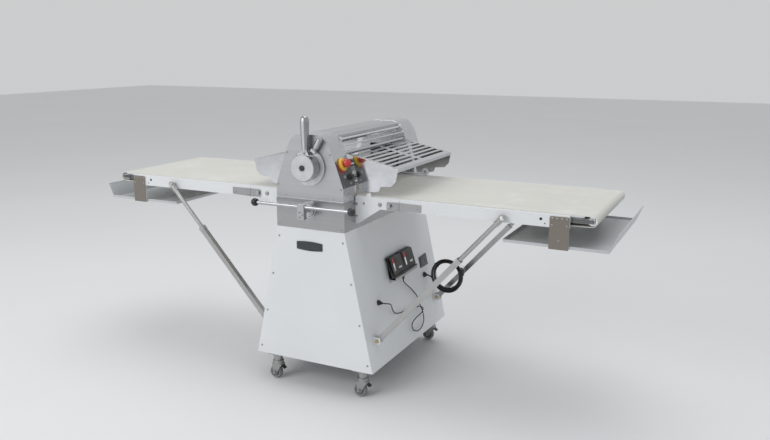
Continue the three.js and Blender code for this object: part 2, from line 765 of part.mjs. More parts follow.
// ---- foot switch ----------------------------------------------------------------------------------
// Local X runs down the unit, local Z out of its face, and the origin is its top back edge.
function onFootSwitch(geometry) {
  const [x, z] = PEDAL_UNIT.top;
  return geometry.rotateY(Math.PI / 2 - PEDAL_TILT).translate(x, PEDAL_UNIT.y, z);
}

function pedalHolder() {
  const [y0, y1] = HOLDER.y;
  const [z0, z1] = HOLDER.z;
  const wall = (d, at) => [cabinetX(at) + d, at];
  const sz = HOLDER.shelf;
  const tip = cabinetX(sz) + HOLDER.reach;
  const back = [wall(GAP, z0), wall(GAP + 2, z0), wall(GAP + 2, z1), wall(GAP, z1)];
  const shelf = [wall(GAP + 1, sz), [tip, sz], [tip, sz + 2], wall(GAP + 1, sz + 2)];
  const lip = [[tip - 2, sz], [tip, sz], [tip, sz + HOLDER.lip], [tip - 2, sz + HOLDER.lip]];
  return union([prismXZ(back, y0, y1), prismXZ(shelf, y0, y1), prismXZ(lip, y0, y1)]);
}

function pedalBase() {
  const { w, h, t } = PEDAL_UNIT;
  const half = w / 2;
  return union([
    onFootSwitch(box(0, h, -half, half, 0, t)),
    onFootSwitch(box(h - 8, h, -half, half, t - 1, t + 8)),
    onFootSwitch(box(0, h, -4, 4, t - 1, t + 7)),
  ]);
}

function pedal(end) {
  const { h, t } = PEDAL_UNIT;
  const middle = end * (PEDAL_W / 2 + 5);
  const outline = [
    [5, t + 11],
    [5, t + 5],
    [h - 10, t + 0.5],
    [h - 10, t + 4],
    [h - 14, t + 6],
    [12, t + 13],
  ];
  const wedge = prismXZ(outline, -PEDAL_W / 2, PEDAL_W / 2);
  return onFootSwitch(wedge.translate(0, middle, 0));
}

// ---- casters --------------------------------------------------------------------------------------
function casterWheel(x, y) {
  const w = WHEEL_W / 2;
  const profile = [
    [5 + GAP, -w],
    [WHEEL_R - 4, -w],
    [WHEEL_R, -w + 5],
    [WHEEL_R, w - 5],
    [WHEEL_R - 4, w],
    [5 + GAP, w],
    [5 + GAP, -w],
  ];
  return latheY(profile, 24).translate(x, y, WHEEL_R);
}

function casterFork(x, y) {
  const inner = WHEEL_W / 2 + 2;
  const outer = inner + SHEET;
  const leg = [
    [-10, WHEEL_R - 8],
    [8, WHEEL_R - 8],
    [36, 72],
    [-14, 72],
  ];
  const head = latheY(
    [
      [0, 74],
      [26, 74],
      [26, 92],
      [20, 97],
      [20, 116],
      [28, 120],
      [28, CAB_BOTTOM_Z - CASTER_PLATE_T - GAP],
      [0, CAB_BOTTOM_Z - CASTER_PLATE_T - GAP],
    ],
    20,
  );
  return union([
    prismXZ(leg, -outer, -inner),
    prismXZ(leg, inner, outer),
    box(-15, 37, -outer, outer, 68, 75),
    cylinderY(5, -outer - 4, outer + 4, 0, WHEEL_R, 12),
    head.rotateX(Math.PI / 2).translate(CASTER_TRAIL, 0, 0),
  ]).translate([x, y, 0]);
}

// ---- cords ----------------------------------------------------------------------------------------
function cordTube(points, radius, steps, sides) {
  const curve = new THREE.CatmullRomCurve3(points.map((p) => new THREE.Vector3(...p)), false, "centripetal");
  const section = new THREE.Shape();
  for (let i = 0; i < sides; i++) {
    const a = (2 * Math.PI * i) / sides;
    const at = [radius * Math.cos(a), radius * Math.sin(a)];
    if (i) section.lineTo(...at);
    else section.moveTo(...at);
  }
  return new THREE.ExtrudeGeometry(section, { steps, extrudePath: curve, bevelEnabled: false });
}

const PEDAL_CORD_ROUTE = [
  [258, -8, 446],
  [258.4, -6, 437],
  [260, 8, 423],
  [263, 40, 400],
  [268, 77, 369],
  [278, 112, 328],
  [286, 131, 280],
  [295, 146, 238],
  [303, 141, 200],
  [308, 102, 176],
  [309, 50, 174],
  [304, 8, 196],
  [300, 6, 222],
  [302, 52, 242],
  [305, 108, 250],
  [302, 132, 264],
  [295, 112, 279],
  [286, 50, 288],
  [280, -20, 298],
  [277, -90, 306],
  [276, -130, 318],
  [276, -160, 342],
  [282, -184, 368],
  [288, -212, 389],
  [286, -236, 399],
  [279, -247, 401.6],
  [270, -250, 402],
];

const COIL = { x: 368, y: 280, z: 402, r: 75, thick: 12 };

// The whole lead is tied into one coil beside its gland.
function mainsCord() {
  const { r, thick } = COIL;
  const ring = [];
  const sides = 8;
  for (let i = 0; i <= sides; i++) {
    const a = (2 * Math.PI * i) / sides;
    ring.push([r + thick * Math.cos(a), thick * Math.sin(a)]);
  }
  return latheY(ring, 28).translate(COIL.x, COIL.y, COIL.z);
}

// ---- assembly -------------------------------------------------------------------------------------
add("base_frame", baseFrame(), zinc());
add("cabinet_shell", cabinetShell(), whitePowder());
add("cabinet_front_panel", cabinetFrontPanel(), whitePowder());
add("lower_casing", lowerCasing(), stainless());
add("front_housing", frontHousing(), stainless());
add("front_cover_plate", frontCoverPlate(), stainless());
add("rear_housing", rearHousing(), stainless());
add("top_cover", topCover(), stainless());
add("roller_carrier", rollerCarrier(), zinc());
add("lower_roller", sheetingRoller(LOWER_ROLLER_Z), chrome());
add("upper_roller", sheetingRoller(UPPER_ROLLER_Z), chrome());
add("dial_ring", dialRing(), stainless());
add("thickness_lever", thicknessLever(), stainless());
add("thickness_stop_knob", stopKnob(), chrome());
add("direction_bar", directionBar(), chrome());
add("control_panel", controlPanel(), stainless());
add("emergency_stop_button", emergencyStop(), redPlastic());
add("start_button", startButton(), black());
add("pedal_holder", pedalHolder(), stainless());
add("pedal_base", pedalBase(), black());

for (const [sideName, side] of Object.entries(SIDES)) {
  add("direction_ball_" + sideName, ballKnob(side), black());
  add("guard_" + sideName, guard(side), stainless());
  add("table_bracket_" + sideName, tableBracket(side), whitePowder());
  add("inner_belt_" + sideName, beltLoop(side, FOLD_X - 0.4, DRIVE_ROLLER_X), beltCream());
  add("drive_roller_" + sideName, beltRoller(side * DRIVE_ROLLER_X), chrome());
  add("table_frame_" + sideName, tableFrame(side), whitePowder());
  add("belt_" + sideName, beltLoop(side, FOLD_X + 0.4, END_ROLLER_X), beltCream());
  add("end_roller_" + sideName, beltRoller(side * END_ROLLER_X), chrome());
  add("catch_tray_" + sideName, catchTray(side), greySheet());
  add("latch_knob_" + sideName, latchKnob(side), chrome());
  for (const [endName, at] of Object.entries(ENDS)) {
    const where = endName + "_" + sideName;
    add("strut_tube_" + where, strutOuter(side, at), chrome());
    add("strut_rod_" + where, strutInner(side, at), chrome());
    add("caster_fork_" + where, casterFork(side * WHEEL_X, at * WHEEL_Y), zinc());
    add("caster_wheel_" + where, casterWheel(side * WHEEL_X, at * WHEEL_Y), greyRubber());
  }
}
for (const [endName, at] of Object.entries(ENDS)) {
  add("pedal_" + endName, pedal(at), black());
}
add("pedal_cord", cordTube(PEDAL_CORD_ROUTE, 2.5, 66, 8), black());
add("mains_cord", mainsCord(), black());

export default root;
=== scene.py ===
"""Looks of a floor-standing dough sheeter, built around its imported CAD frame. Metres, +Z up."""
import math

import bmesh
import bpy
from mathutils import Matrix, Vector


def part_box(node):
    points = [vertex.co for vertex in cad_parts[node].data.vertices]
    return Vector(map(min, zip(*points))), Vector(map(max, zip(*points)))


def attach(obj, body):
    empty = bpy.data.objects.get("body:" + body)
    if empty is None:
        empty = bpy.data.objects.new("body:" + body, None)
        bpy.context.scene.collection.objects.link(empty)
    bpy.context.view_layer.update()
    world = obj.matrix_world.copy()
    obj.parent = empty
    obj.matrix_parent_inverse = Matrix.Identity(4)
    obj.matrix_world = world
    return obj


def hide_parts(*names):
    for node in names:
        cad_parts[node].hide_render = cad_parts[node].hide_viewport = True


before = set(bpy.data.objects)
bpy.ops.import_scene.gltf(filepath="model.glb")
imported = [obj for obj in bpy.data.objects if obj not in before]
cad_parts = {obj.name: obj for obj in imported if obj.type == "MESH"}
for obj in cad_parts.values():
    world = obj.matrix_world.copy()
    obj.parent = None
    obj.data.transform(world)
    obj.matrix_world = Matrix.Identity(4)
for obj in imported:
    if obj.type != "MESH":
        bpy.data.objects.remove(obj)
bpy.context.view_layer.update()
SIDES = {"left": -1, "right": 1}
ENDS = {"front": -1, "rear": 1}


def middle(node, axis):
    low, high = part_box(node)
    return (low[axis] + high[axis]) / 2


MID_Y = middle("belt_right", 1)  # the belts' centre plane
FRONT_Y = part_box("cabinet_front_panel")[0].y
RAIL_Y = 0.321  # outer face of each table rail, from the centre plane
FLOOR_SIZE = 40.0


def at(x, y, z):
    """A point given from the belts' centre plane."""
    return Vector((x, y + MID_Y, z))


# ---- camera ---------------------------------------------------------------------------------------
def make_camera():
    data = bpy.data.cameras.new("camera")
    data.sensor_width = 36.0
    data.lens = 35.89
    data.clip_end = 100.0
    camera = bpy.data.objects.new("camera", data)
    bpy.context.scene.collection.objects.link(camera)
    camera.location = at(1.7433, -3.1963, 1.5405)
    forward = Vector((-0.4335, 0.8732, -0.2226))
    camera.rotation_euler = forward.to_track_quat("-Z", "Y").to_euler()
    bpy.context.scene.camera = camera


make_camera()


# ---- materials ------------------------------------------------------------------------------------
class Surface:
    """One procedural material, built node by node in object space."""

    def __init__(self, name):
        self.material = bpy.data.materials.new(name)
        self.material.use_nodes = True
        self.tree = self.material.node_tree
        self.tree.nodes.clear()
        out = self.node("ShaderNodeOutputMaterial")
        self.shader = self.node("ShaderNodeBsdfPrincipled")
        self.tree.links.new(self.shader.outputs["BSDF"], out.inputs["Surface"])
        self.place = self.node("ShaderNodeTexCoord").outputs["Object"]

    def node(self, kind, settings=None, **inputs):
        made = self.tree.nodes.new(kind)
        for key, value in (settings or {}).items():
            setattr(made, key, value)
        for key, value in inputs.items():
            self.put(made.inputs[key.replace("_", " ")], value)
        return made

    def put(self, socket, value):
        if isinstance(value, bpy.types.NodeSocket):
            self.tree.links.new(value, socket)
        else:
            socket.default_value = value

    def set(self, **inputs):
        for key, value in inputs.items():
            self.put(self.shader.inputs[key.replace("_", " ")], value)

    def stretched(self, scale):
        made = self.node("ShaderNodeMapping", Vector=self.place)
        made.inputs["Scale"].default_value = scale
        return made.outputs["Vector"]

    def noise(self, scale, stretch=(1, 1, 1), detail=4.0, roughness=0.55):
        made = self.node("ShaderNodeTexNoise", Vector=self.stretched(stretch), Scale=scale, Detail=detail)
        made.inputs["Roughness"].default_value = roughness
        return made.outputs[0]

    def remap(self, value, low, high, to_low, to_high):
        made = self.node("ShaderNodeMapRange", Value=value)
        for key, number in (("From Min", low), ("From Max", high), ("To Min", to_low), ("To Max", to_high)):
            made.inputs[key].default_value = number
        return made.outputs[0]

    def maths(self, operation, a, b):
        made = self.node("ShaderNodeMath", {"operation": operation})
        self.put(made.inputs[0], a)
        self.put(made.inputs[1], b)
        return made.outputs[0]

    def mix(self, factor, a, b):
        made = self.node("ShaderNodeMix", {"data_type": "RGBA"})
        self.put(made.inputs[0], factor)
        self.put(made.inputs[6], a)
        self.put(made.inputs[7], b)
        return made.outputs[2]

    def bump(self, height, strength, distance, normal=None):
        made = self.node("ShaderNodeBump", Height=height, Strength=strength, Distance=distance)
        if normal is not None:
            self.put(made.inputs["Normal"], normal)
        return made.outputs["Normal"]

    def edges(self, radius):
        """1 along outer edges, 0 on flat ground."""
        bevel = self.node("ShaderNodeBevel", {"samples": 3}, Radius=radius)
        flat = self.node("ShaderNodeNewGeometry").outputs["Normal"]
        dot = self.node("ShaderNodeVectorMath", {"operation": "DOT_PRODUCT"})
        self.put(dot.inputs[0], bevel.outputs[0])
        self.put(dot.inputs[1], flat)
        return self.remap(dot.outputs["Value"], 0.999, 0.93, 0.0, 1.0)


def rgb(r, g, b):
    return (r, g, b, 1.0)


def shade(color, factor):
    return rgb(*(min(1.0, c * factor) for c in color[:3]))


def powder_coat(name, color, rough=0.42):
    s = Surface(name)
    cloud = s.noise(2.2, detail=3)
    base = s.mix(s.remap(cloud, 0.3, 0.7, 0, 1), shade(color, 0.965), shade(color, 1.02))
    specks = s.remap(s.noise(160, detail=2), 0.66, 0.74, 0, 0.35)
    base = s.mix(specks, base, shade(color, 0.9))
    chips = s.maths("MULTIPLY", s.edges(0.0018), s.remap(s.noise(45), 0.52, 0.66, 0, 0.8))
    s.set(Base_Color=s.mix(chips, base, shade(color, 0.62)))
    s.set(Roughness=s.remap(s.noise(14), 0.3, 0.7, rough - 0.05, rough + 0.08))
    peel = s.bump(s.noise(420, detail=2), 0.12, 0.0004)
    s.set(Normal=s.bump(s.noise(9, detail=2), 0.05, 0.002, peel))
    return s.material


def brushed(name, color, lines, rough=0.4):
    """lines is the direction of the brushing: 0, 1 or 2."""
    s = Surface(name)
    stretch = [260.0] * 3
    stretch[lines] = 3.0
    grain = s.noise(1.0, stretch, detail=5, roughness=0.7)
    blotch = s.noise(5.5, detail=3)
    base = s.mix(s.remap(grain, 0.3, 0.7, 0, 1), shade(color, 0.9), shade(color, 1.04))
    base = s.mix(s.remap(blotch, 0.35, 0.75, 0, 0.28), base, shade(color, 0.86))
    wear = s.maths("MULTIPLY", s.edges(0.0012), 0.45)
    s.set(Base_Color=s.mix(wear, base, shade(color, 1.15)), Metallic=1.0)
    s.set(Roughness=s.maths("ADD", s.remap(grain, 0.2, 0.8, -0.05, 0.07),
                            s.remap(blotch, 0.3, 0.7, rough - 0.03, rough + 0.06)))
    s.set(Normal=s.bump(grain, 0.05, 0.0003))
    return s.material


def polished(name, color, rough=0.09):
    s = Surface(name)
    smudge = s.noise(24, detail=4)
    base = s.mix(s.remap(smudge, 0.35, 0.7, 0, 1), shade(color, 1.0), shade(color, 0.93))
    s.set(Base_Color=base, Metallic=1.0, Roughness=s.remap(smudge, 0.3, 0.75, rough - 0.03, rough + 0.09))
    scratch = s.noise(1.0, (700, 14, 700), detail=3)
    s.set(Normal=s.bump(scratch, 0.03, 0.0003))
    return s.material


def plastic(name, color, rough=0.4, grain=900, depth=0.1):
    s = Surface(name)
    dust = s.remap(s.noise(11), 0.45, 0.75, 0, 0.16)
    base = s.mix(dust, color, rgb(0.42, 0.41, 0.39))
    wear = s.maths("MULTIPLY", s.edges(0.0009), 0.3)
    s.set(Base_Color=s.mix(wear, base, shade(color, 1.9)))
    s.set(Roughness=s.remap(s.noise(30), 0.3, 0.7, rough - 0.06, rough + 0.1))
    s.set(Normal=s.bump(s.noise(grain, detail=2), depth, 0.0003))
    return s.material


def turned(name, color):
    """Turned steel with painted light: faces turned to the front are painted pale and the rim painted dark,
    standing in for how each reflects; the rim is also polished for real.
    """
    s = Surface(name)
    normal = s.node("ShaderNodeNewGeometry").outputs["Normal"]
    split = s.node("ShaderNodeSeparateXYZ", Vector=normal)
    # painted light: a mask of the faces turned to the front, which get painted pale while the rim gets
    # painted dark
    face = s.remap(split.outputs["Y"], -0.9, -0.97, 0, 1)
    smudge = s.noise(26, detail=4)
    # painted highlight on the front faces and painted shade on the rim
    base = s.mix(face, shade(color, 0.62), shade(color, 1.16))
    s.set(Base_Color=s.mix(s.remap(smudge, 0.35, 0.7, 0, 0.5), base, shade(color, 0.75)), Metallic=1.0)
    rough = s.remap(face, 0, 1, 0.17, 0.42)
    s.set(Roughness=s.maths("ADD", rough, s.remap(smudge, 0.3, 0.7, -0.03, 0.05)))
    grooves = s.noise(1.0, (4, 900, 4), detail=2)
    s.set(Normal=s.bump(grooves, 0.04, 0.0002))
    return s.material


def belt_cloth(name):
    """Cream PVC belt over a fine woven core, with a little flour in the weave."""
    s = Surface(name)
    threads = []
    for direction in ("X", "Y"):
        wave = s.node("ShaderNodeTexWave", {"bands_direction": direction}, Vector=s.place, Scale=170.0)
        wave.inputs["Distortion"].default_value = 0.4
        threads.append(wave.outputs[1])
    weave = s.maths("MULTIPLY", threads[0], threads[1])
    cream = rgb(0.69, 0.68, 0.635)
    base = s.mix(s.remap(s.noise(1.6, detail=3), 0.3, 0.7, 0, 1), shade(cream, 0.95), shade(cream, 1.03))
    base = s.mix(s.remap(weave, 0, 1, 0.14, 0), base, shade(cream, 0.8))
    flour = s.maths("MULTIPLY", s.remap(s.noise(7, detail=6, roughness=0.7), 0.52, 0.72, 0, 0.6),
                    s.remap(weave, 0, 1, 1, 0.3))
    base = s.mix(flour, base, rgb(0.8, 0.795, 0.775))
    rub = s.remap(s.noise(1.0, (2.5, 60, 60), detail=3), 0.55, 0.75, 0, 0.18)
    s.set(Base_Color=s.mix(rub, base, rgb(0.6, 0.585, 0.54)))
    s.set(Roughness=s.remap(s.noise(18), 0.3, 0.7, 0.5, 0.68))
    s.set(Normal=s.bump(weave, 0.22, 0.0003))
    return s.material


WHITE = rgb(0.76, 0.775, 0.79)
STEEL = rgb(0.53, 0.535, 0.55)
M = {
    "white_powder": powder_coat("white_powder", WHITE),
    "grey_sheet": powder_coat("grey_sheet", rgb(0.53, 0.545, 0.56), 0.38),
    "hanger_paint": powder_coat("hanger_paint", rgb(0.2, 0.175, 0.15), 0.5),
    "steel_across": brushed("steel_across", STEEL, 0),
    "steel_deep": brushed("steel_deep", STEEL, 1),
    "steel_up": brushed("steel_up", STEEL, 2),
    "casing_steel": brushed("casing_steel", rgb(0.43, 0.43, 0.435), 0, 0.33),
    "turned_steel_painted_shading": turned("turned_steel_painted_shading", rgb(0.6, 0.605, 0.62)),
    "strut_steel": polished("strut_steel", rgb(0.47, 0.465, 0.46), 0.28),
    "bar_chrome": polished("bar_chrome", rgb(0.5, 0.505, 0.515), 0.3),
    # painted shade on the control panel's stainless steel; the end bearing plates are dark for real
    "dark_steel_and_painted_shade": brushed("dark_steel_and_painted_shade", rgb(0.2, 0.2, 0.205), 1, 0.3),
    "mirror_steel": polished("mirror_steel", rgb(0.66, 0.67, 0.69), 0.12),
    "satin_mirror": polished("satin_mirror", rgb(0.62, 0.63, 0.65), 0.24),
    "chrome": polished("chrome", rgb(0.83, 0.84, 0.85)),
    "zinc": brushed("zinc", rgb(0.42, 0.425, 0.42), 2, 0.4),
    "brass": brushed("brass", rgb(0.62, 0.47, 0.25), 1, 0.33),
    "belt_cream": belt_cloth("belt_cream"),
    "black_plastic": plastic("black_plastic", rgb(0.018, 0.018, 0.02), 0.36),
    "black_gloss": plastic("black_gloss", rgb(0.014, 0.014, 0.016), 0.16, 300, 0.03),
    "badge_grey": plastic("badge_grey", rgb(0.035, 0.042, 0.05), 0.3, 300, 0.05),
    "red_plastic": plastic("red_plastic", rgb(0.58, 0.022, 0.02), 0.28, 300, 0.04),
    # dark red backing label, and painted groove shade on the stop button
    "dark_red_and_groove_shade": plastic("dark_red_and_groove_shade", rgb(0.3, 0.03, 0.035), 0.45),
    "yellow_plastic": plastic("yellow_plastic", rgb(0.83, 0.5, 0.02), 0.36, 300, 0.05),
    "pale_label": plastic("pale_label", rgb(0.66, 0.66, 0.66), 0.5),
    "cord_rubber": plastic("cord_rubber", rgb(0.016, 0.016, 0.017), 0.5, 1400, 0.14),
    "grey_rubber": plastic("grey_rubber", rgb(0.21, 0.215, 0.215), 0.62, 500, 0.2),
    # dark print for the dial marks, and painted shade for the rail holes
    "dark_print_and_hole_shade": plastic("dark_print_and_hole_shade", rgb(0.012, 0.012, 0.012), 0.8),
}


# ---- mesh helpers ---------------------------------------------------------------------------------
def smoothing_group():
    """Smooths every edge flatter than a limit and keeps the others sharp."""
    group = bpy.data.node_groups.new("smooth_by_angle", "GeometryNodeTree")
    group.interface.new_socket("Geometry", in_out="INPUT", socket_type="NodeSocketGeometry")
    group.interface.new_socket("Geometry", in_out="OUTPUT", socket_type="NodeSocketGeometry")
    start, end = group.nodes.new("NodeGroupInput"), group.nodes.new("NodeGroupOutput")
    angle = group.nodes.new("GeometryNodeInputMeshEdgeAngle")
    flat = group.nodes.new("FunctionNodeCompare")
    flat.operation = "LESS_THAN"
    flat.inputs[1].default_value = math.radians(34)
    faces, edges = (group.nodes.new("GeometryNodeSetShadeSmooth") for _ in range(2))
    edges.domain = "EDGE"
    link = group.links.new
    link(start.outputs[0], faces.inputs["Geometry"])
    link(faces.outputs[0], edges.inputs["Geometry"])
    link(angle.outputs["Unsigned Angle"], flat.inputs[0])
    link(flat.outputs[0], edges.inputs["Shade Smooth"])
    link(edges.outputs[0], end.inputs[0])
    return group


SMOOTH = smoothing_group()


def soften(obj, width, weld=False):
    if weld:
        obj.modifiers.new("weld", "WELD").merge_threshold = 1e-5
        dissolve = obj.modifiers.new("flat_faces", "DECIMATE")
        dissolve.decimate_type = "DISSOLVE"
        dissolve.angle_limit = math.radians(1.0)
    if width:
        bevel = obj.modifiers.new("edges", "BEVEL")
        bevel.width = width
        bevel.segments = 2
        bevel.limit_method = "ANGLE"
        bevel.angle_limit = math.radians(38)
        bevel.use_clamp_overlap = True
    obj.modifiers.new("smooth", "NODES").node_group = SMOOTH
    flat = obj.modifiers.new("flat_normals", "WEIGHTED_NORMAL")
    flat.weight = 90
    flat.keep_sharp = True


class Piece:
    """Collects closed shapes into one mesh that rides on one body."""

    def __init__(self, name, body, material, slot=None, width=0.0004, stands_for=()):
        self.name, self.body, self.material = name, body, M[material]
        self.slot, self.width, self.stands_for = slot, width, stands_for
        self.mesh = bmesh.new()

    def face(self, vertices):
        self.mesh.faces.new(vertices)

    def hull(self, rings, closed=False):
        """Skins rings of points; a ring of one point is an apex."""
        made = [[self.mesh.verts.new(p) for p in ring] for ring in rings]
        pairs = list(zip(made, made[1:] + made[:1])) if closed else list(zip(made, made[1:]))
        for a, b in pairs:
            count = max(len(a), len(b))
            for i in range(count):
                j = (i + 1) % count
                if len(a) == 1:
                    self.face((a[0], b[j], b[i]))
                elif len(b) == 1:
                    self.face((a[i], a[j], b[0]))
                else:
                    self.face((a[i], a[j], b[j], b[i]))
        if not closed:
            for ring in (made[0], made[-1]):
                if len(ring) > 2:
                    self.face(ring)
        return self

    def lathe(self, profile, where, axis, segments=32, closed=False):
        """profile lists (radius, height along axis)."""
        turn = Vector(axis).normalized().to_track_quat("Z", "Y").to_matrix()
        rings = []
        for r, d in profile:
            steps = segments if r > 1e-7 else 1
            angles = [2 * math.pi * i / steps for i in range(steps)]
            rings.append([Vector(where) + turn @ Vector((r * math.cos(a), r * math.sin(a), d))
                          for a in angles])
        return self.hull(rings, closed)

    def rod(self, a, b, radius, segments=20):
        length = (Vector(b) - Vector(a)).length
        return self.lathe([(0, 0), (radius, 0), (radius, length), (0, length)], a, Vector(b) - Vector(a),
                          segments)

    def ring(self, where, axis, radius, thick, segments=40, sides=12):
        angles = [2 * math.pi * i / sides for i in range(sides)]
        profile = [(radius + thick * math.cos(a), thick * math.sin(a)) for a in angles]
        return self.lathe(profile, where, axis, segments, closed=True)

    def prism(self, outline, origin, u, v, w, depth):
        """outline in (u, v) from origin, swept along w."""
        u, v, w = Vector(u), Vector(v), Vector(w)
        rings = []
        for d in (0.0, depth):
            rings.append([Vector(origin) + u * a + v * b + w * d for a, b in outline])
        return self.hull(rings)

    def block(self, low, high):
        (x0, y0, z0), (x1, y1, z1) = low, high
        outline = [(x0, y0), (x1, y0), (x1, y1), (x0, y1)]
        return self.prism(outline, (0, 0, z0), (1, 0, 0), (0, 1, 0), (0, 0, 1), z1 - z0)

    def screw(self, where, normal, radius=0.0048):
        """A low domed head with a hexagon socket."""
        r, h = radius, radius * 0.55
        dome = [(0, h * 0.35), (r * 0.4, h * 0.35), (r * 0.46, h), (r * 0.8, h * 0.8), (r, h * 0.3),
                (r, -0.0002), (0, -0.0002)]
        return self.lathe(dome, where, normal, 18)

    def bolt(self, where, normal, across, height):
        """A hexagon head on its washer."""
        washer = [(0, 0), (across * 0.66, 0), (across * 0.66, height * 0.22), (0, height * 0.22)]
        self.lathe(washer, where, normal, 28)
        r = across / math.sqrt(3)
        head = [(0, height * 0.2), (r, height * 0.2), (r, height * 0.92), (r * 0.84, height), (0, height)]
        return self.lathe(head, where, normal, 6)

    def done(self):
        bmesh.ops.recalc_face_normals(self.mesh, faces=self.mesh.faces)
        mesh = bpy.data.meshes.new(self.name)
        self.mesh.to_mesh(mesh)
        self.mesh.free()
        mesh.materials.append(self.material)
        obj = bpy.data.objects.new(self.name, mesh)
        bpy.context.scene.collection.objects.link(obj)
        soften(obj, self.width)
        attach(obj, self.body)
        if self.stands_for:
            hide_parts(*self.stands_for)
        return obj


# ---- cords ----------------------------------------------------------------------------------------
def through(points, steps=10):
    """A centripetal Catmull-Rom curve through the points."""
    points = [Vector(p) for p in points]
    ends = [2 * points[0] - points[1], *points, 2 * points[-1] - points[-2]]
    made = []
    for p0, p1, p2, p3 in zip(ends, ends[1:], ends[2:], ends[3:]):
        t1 = (p1 - p0).length ** 0.5
        t2 = t1 + (p2 - p1).length ** 0.5
        t3 = t2 + (p3 - p2).length ** 0.5
        for i in range(steps):
            t = t1 + (t2 - t1) * i / steps
            a1 = p0 * ((t1 - t) / t1) + p1 * (t / t1)
            a2 = p1 * ((t2 - t) / (t2 - t1)) + p2 * ((t - t1) / (t2 - t1))
            a3 = p2 * ((t3 - t) / (t3 - t2)) + p3 * ((t - t2) / (t3 - t2))
            b1 = a1 * ((t2 - t) / t2) + a2 * (t / t2)
            b2 = a2 * ((t3 - t) / (t3 - t1)) + a3 * ((t - t1) / (t3 - t1))
            made.append(b1 * ((t2 - t) / (t2 - t1)) + b2 * ((t - t1) / (t2 - t1)))
    made.append(points[-1])
    return made


def cord_curve(name, points, radius, stands_for):
    data = bpy.data.curves.new(name, "CURVE")
    data.dimensions = "3D"
    data.bevel_depth = radius
    data.bevel_resolution = 4
    data.use_fill_caps = True
    spline = data.splines.new("POLY")
    spline.points.add(len(points) - 1)
    for place, p in zip(spline.points, points):
        place.co = (*p, 1.0)
    spline.use_smooth = True
    data.materials.append(M["cord_rubber"])
    obj = bpy.data.objects.new(name, data)
    bpy.context.scene.collection.objects.link(obj)
    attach(obj, "machine")
    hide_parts(stands_for)
    return obj


def strain_relief(piece, where, axis, length, thick, cord):
    """A ribbed, tapered sleeve that starts at its nut and ends round the cord."""
    profile = [(0, 0), (thick * 1.25, 0), (thick * 1.25, length * 0.22), (thick, length * 0.26)]
    ribs = 5
    for i in range(ribs):
        share = i / ribs
        r = thick + (cord * 1.35 - thick) * share
        d = length * (0.3 + 0.7 * share)
        profile += [(r, d), (r, d + length * 0.07), (r * 0.86, d + length * 0.08),
                    (r * 0.86, d + length * 0.12)]
    profile += [(cord * 1.2, length), (0, length)]
    return piece.lathe(profile, where, axis, 28)


PEDAL_CORD_R = 0.0025
PEDAL_ROUTE = [
    (0.258, -0.008, 0.446), (0.2584, -0.006, 0.437), (0.26, 0.008, 0.423), (0.263, 0.04, 0.4),
    (0.268, 0.077, 0.369), (0.278, 0.112, 0.328), (0.286, 0.131, 0.28), (0.295, 0.146, 0.238),
    (0.303, 0.141, 0.2), (0.308, 0.102, 0.176), (0.309, 0.05, 0.174), (0.304, 0.008, 0.196),
    (0.3, 0.006, 0.222), (0.302, 0.052, 0.242), (0.305, 0.108, 0.25), (0.302, 0.132, 0.264),
    (0.295, 0.112, 0.279), (0.286, 0.05, 0.288), (0.28, -0.02, 0.298), (0.277, -0.09, 0.306),
    (0.276, -0.13, 0.318), (0.276, -0.16, 0.342), (0.282, -0.184, 0.368), (0.288, -0.212, 0.389),
    (0.286, -0.236, 0.399), (0.279, -0.247, 0.4016), (0.27, -0.25, 0.402),
]


def cabinet_x(z):
    """The cabinet's right wall at a height."""
    return 0.1715 + 0.2127 * (0.754 - z)


def pedal_cord():
    points = through([at(*p) for p in PEDAL_ROUTE])
    cord = cord_curve("pedal_lead", points, PEDAL_CORD_R, "pedal_cord")
    relief = Piece("pedal_lead_relief", "machine", "cord_rubber", "black_rubber")
    start = points[0]
    strain_relief(relief, start + Vector((0, 0, 0.034)), (0, 0, -1), 0.034, 0.0085, PEDAL_CORD_R)
    top = relief.done()
    gland = Piece("pedal_lead_gland", "machine", "black_plastic", "black_plastic")
    end = points[-1]
    wall = Vector((cabinet_x(end.z) - 0.001, end.y, end.z))
    gland.lathe([(0, 0), (0.013, 0), (0.013, 0.004), (0.0105, 0.005), (0.0105, 0.009), (0, 0.009)], wall,
                (1, 0, 0), 24)
    strain_relief(gland, wall + Vector((0.008, 0, 0)), end - wall - Vector((0.008, 0, 0)),
                  (end - wall).length - 0.008, 0.008, PEDAL_CORD_R)
    gland.done()


COIL_AT = at(0.368, 0.28, 0.402)
COIL_R = 0.075
LEAD_R = 0.00375
STEP = 0.0086  # from one turn of the coil to the next
# Where each turn lies in the bundle, as (outward, towards the back), in steps.
TURN_SLOTS = [(0, -1), (-0.87, -0.5), (-0.87, 0.5), (0, 1), (0.87, 0.5), (0.87, -0.5), (1.6, -5.6)]
COIL_START = 201
COIL_TURNS = 5.44


def on_coil(degrees, outward, back):
    a = math.radians(degrees)
    r = COIL_R + outward
    return COIL_AT + Vector((r * math.cos(a), back, r * math.sin(a)))


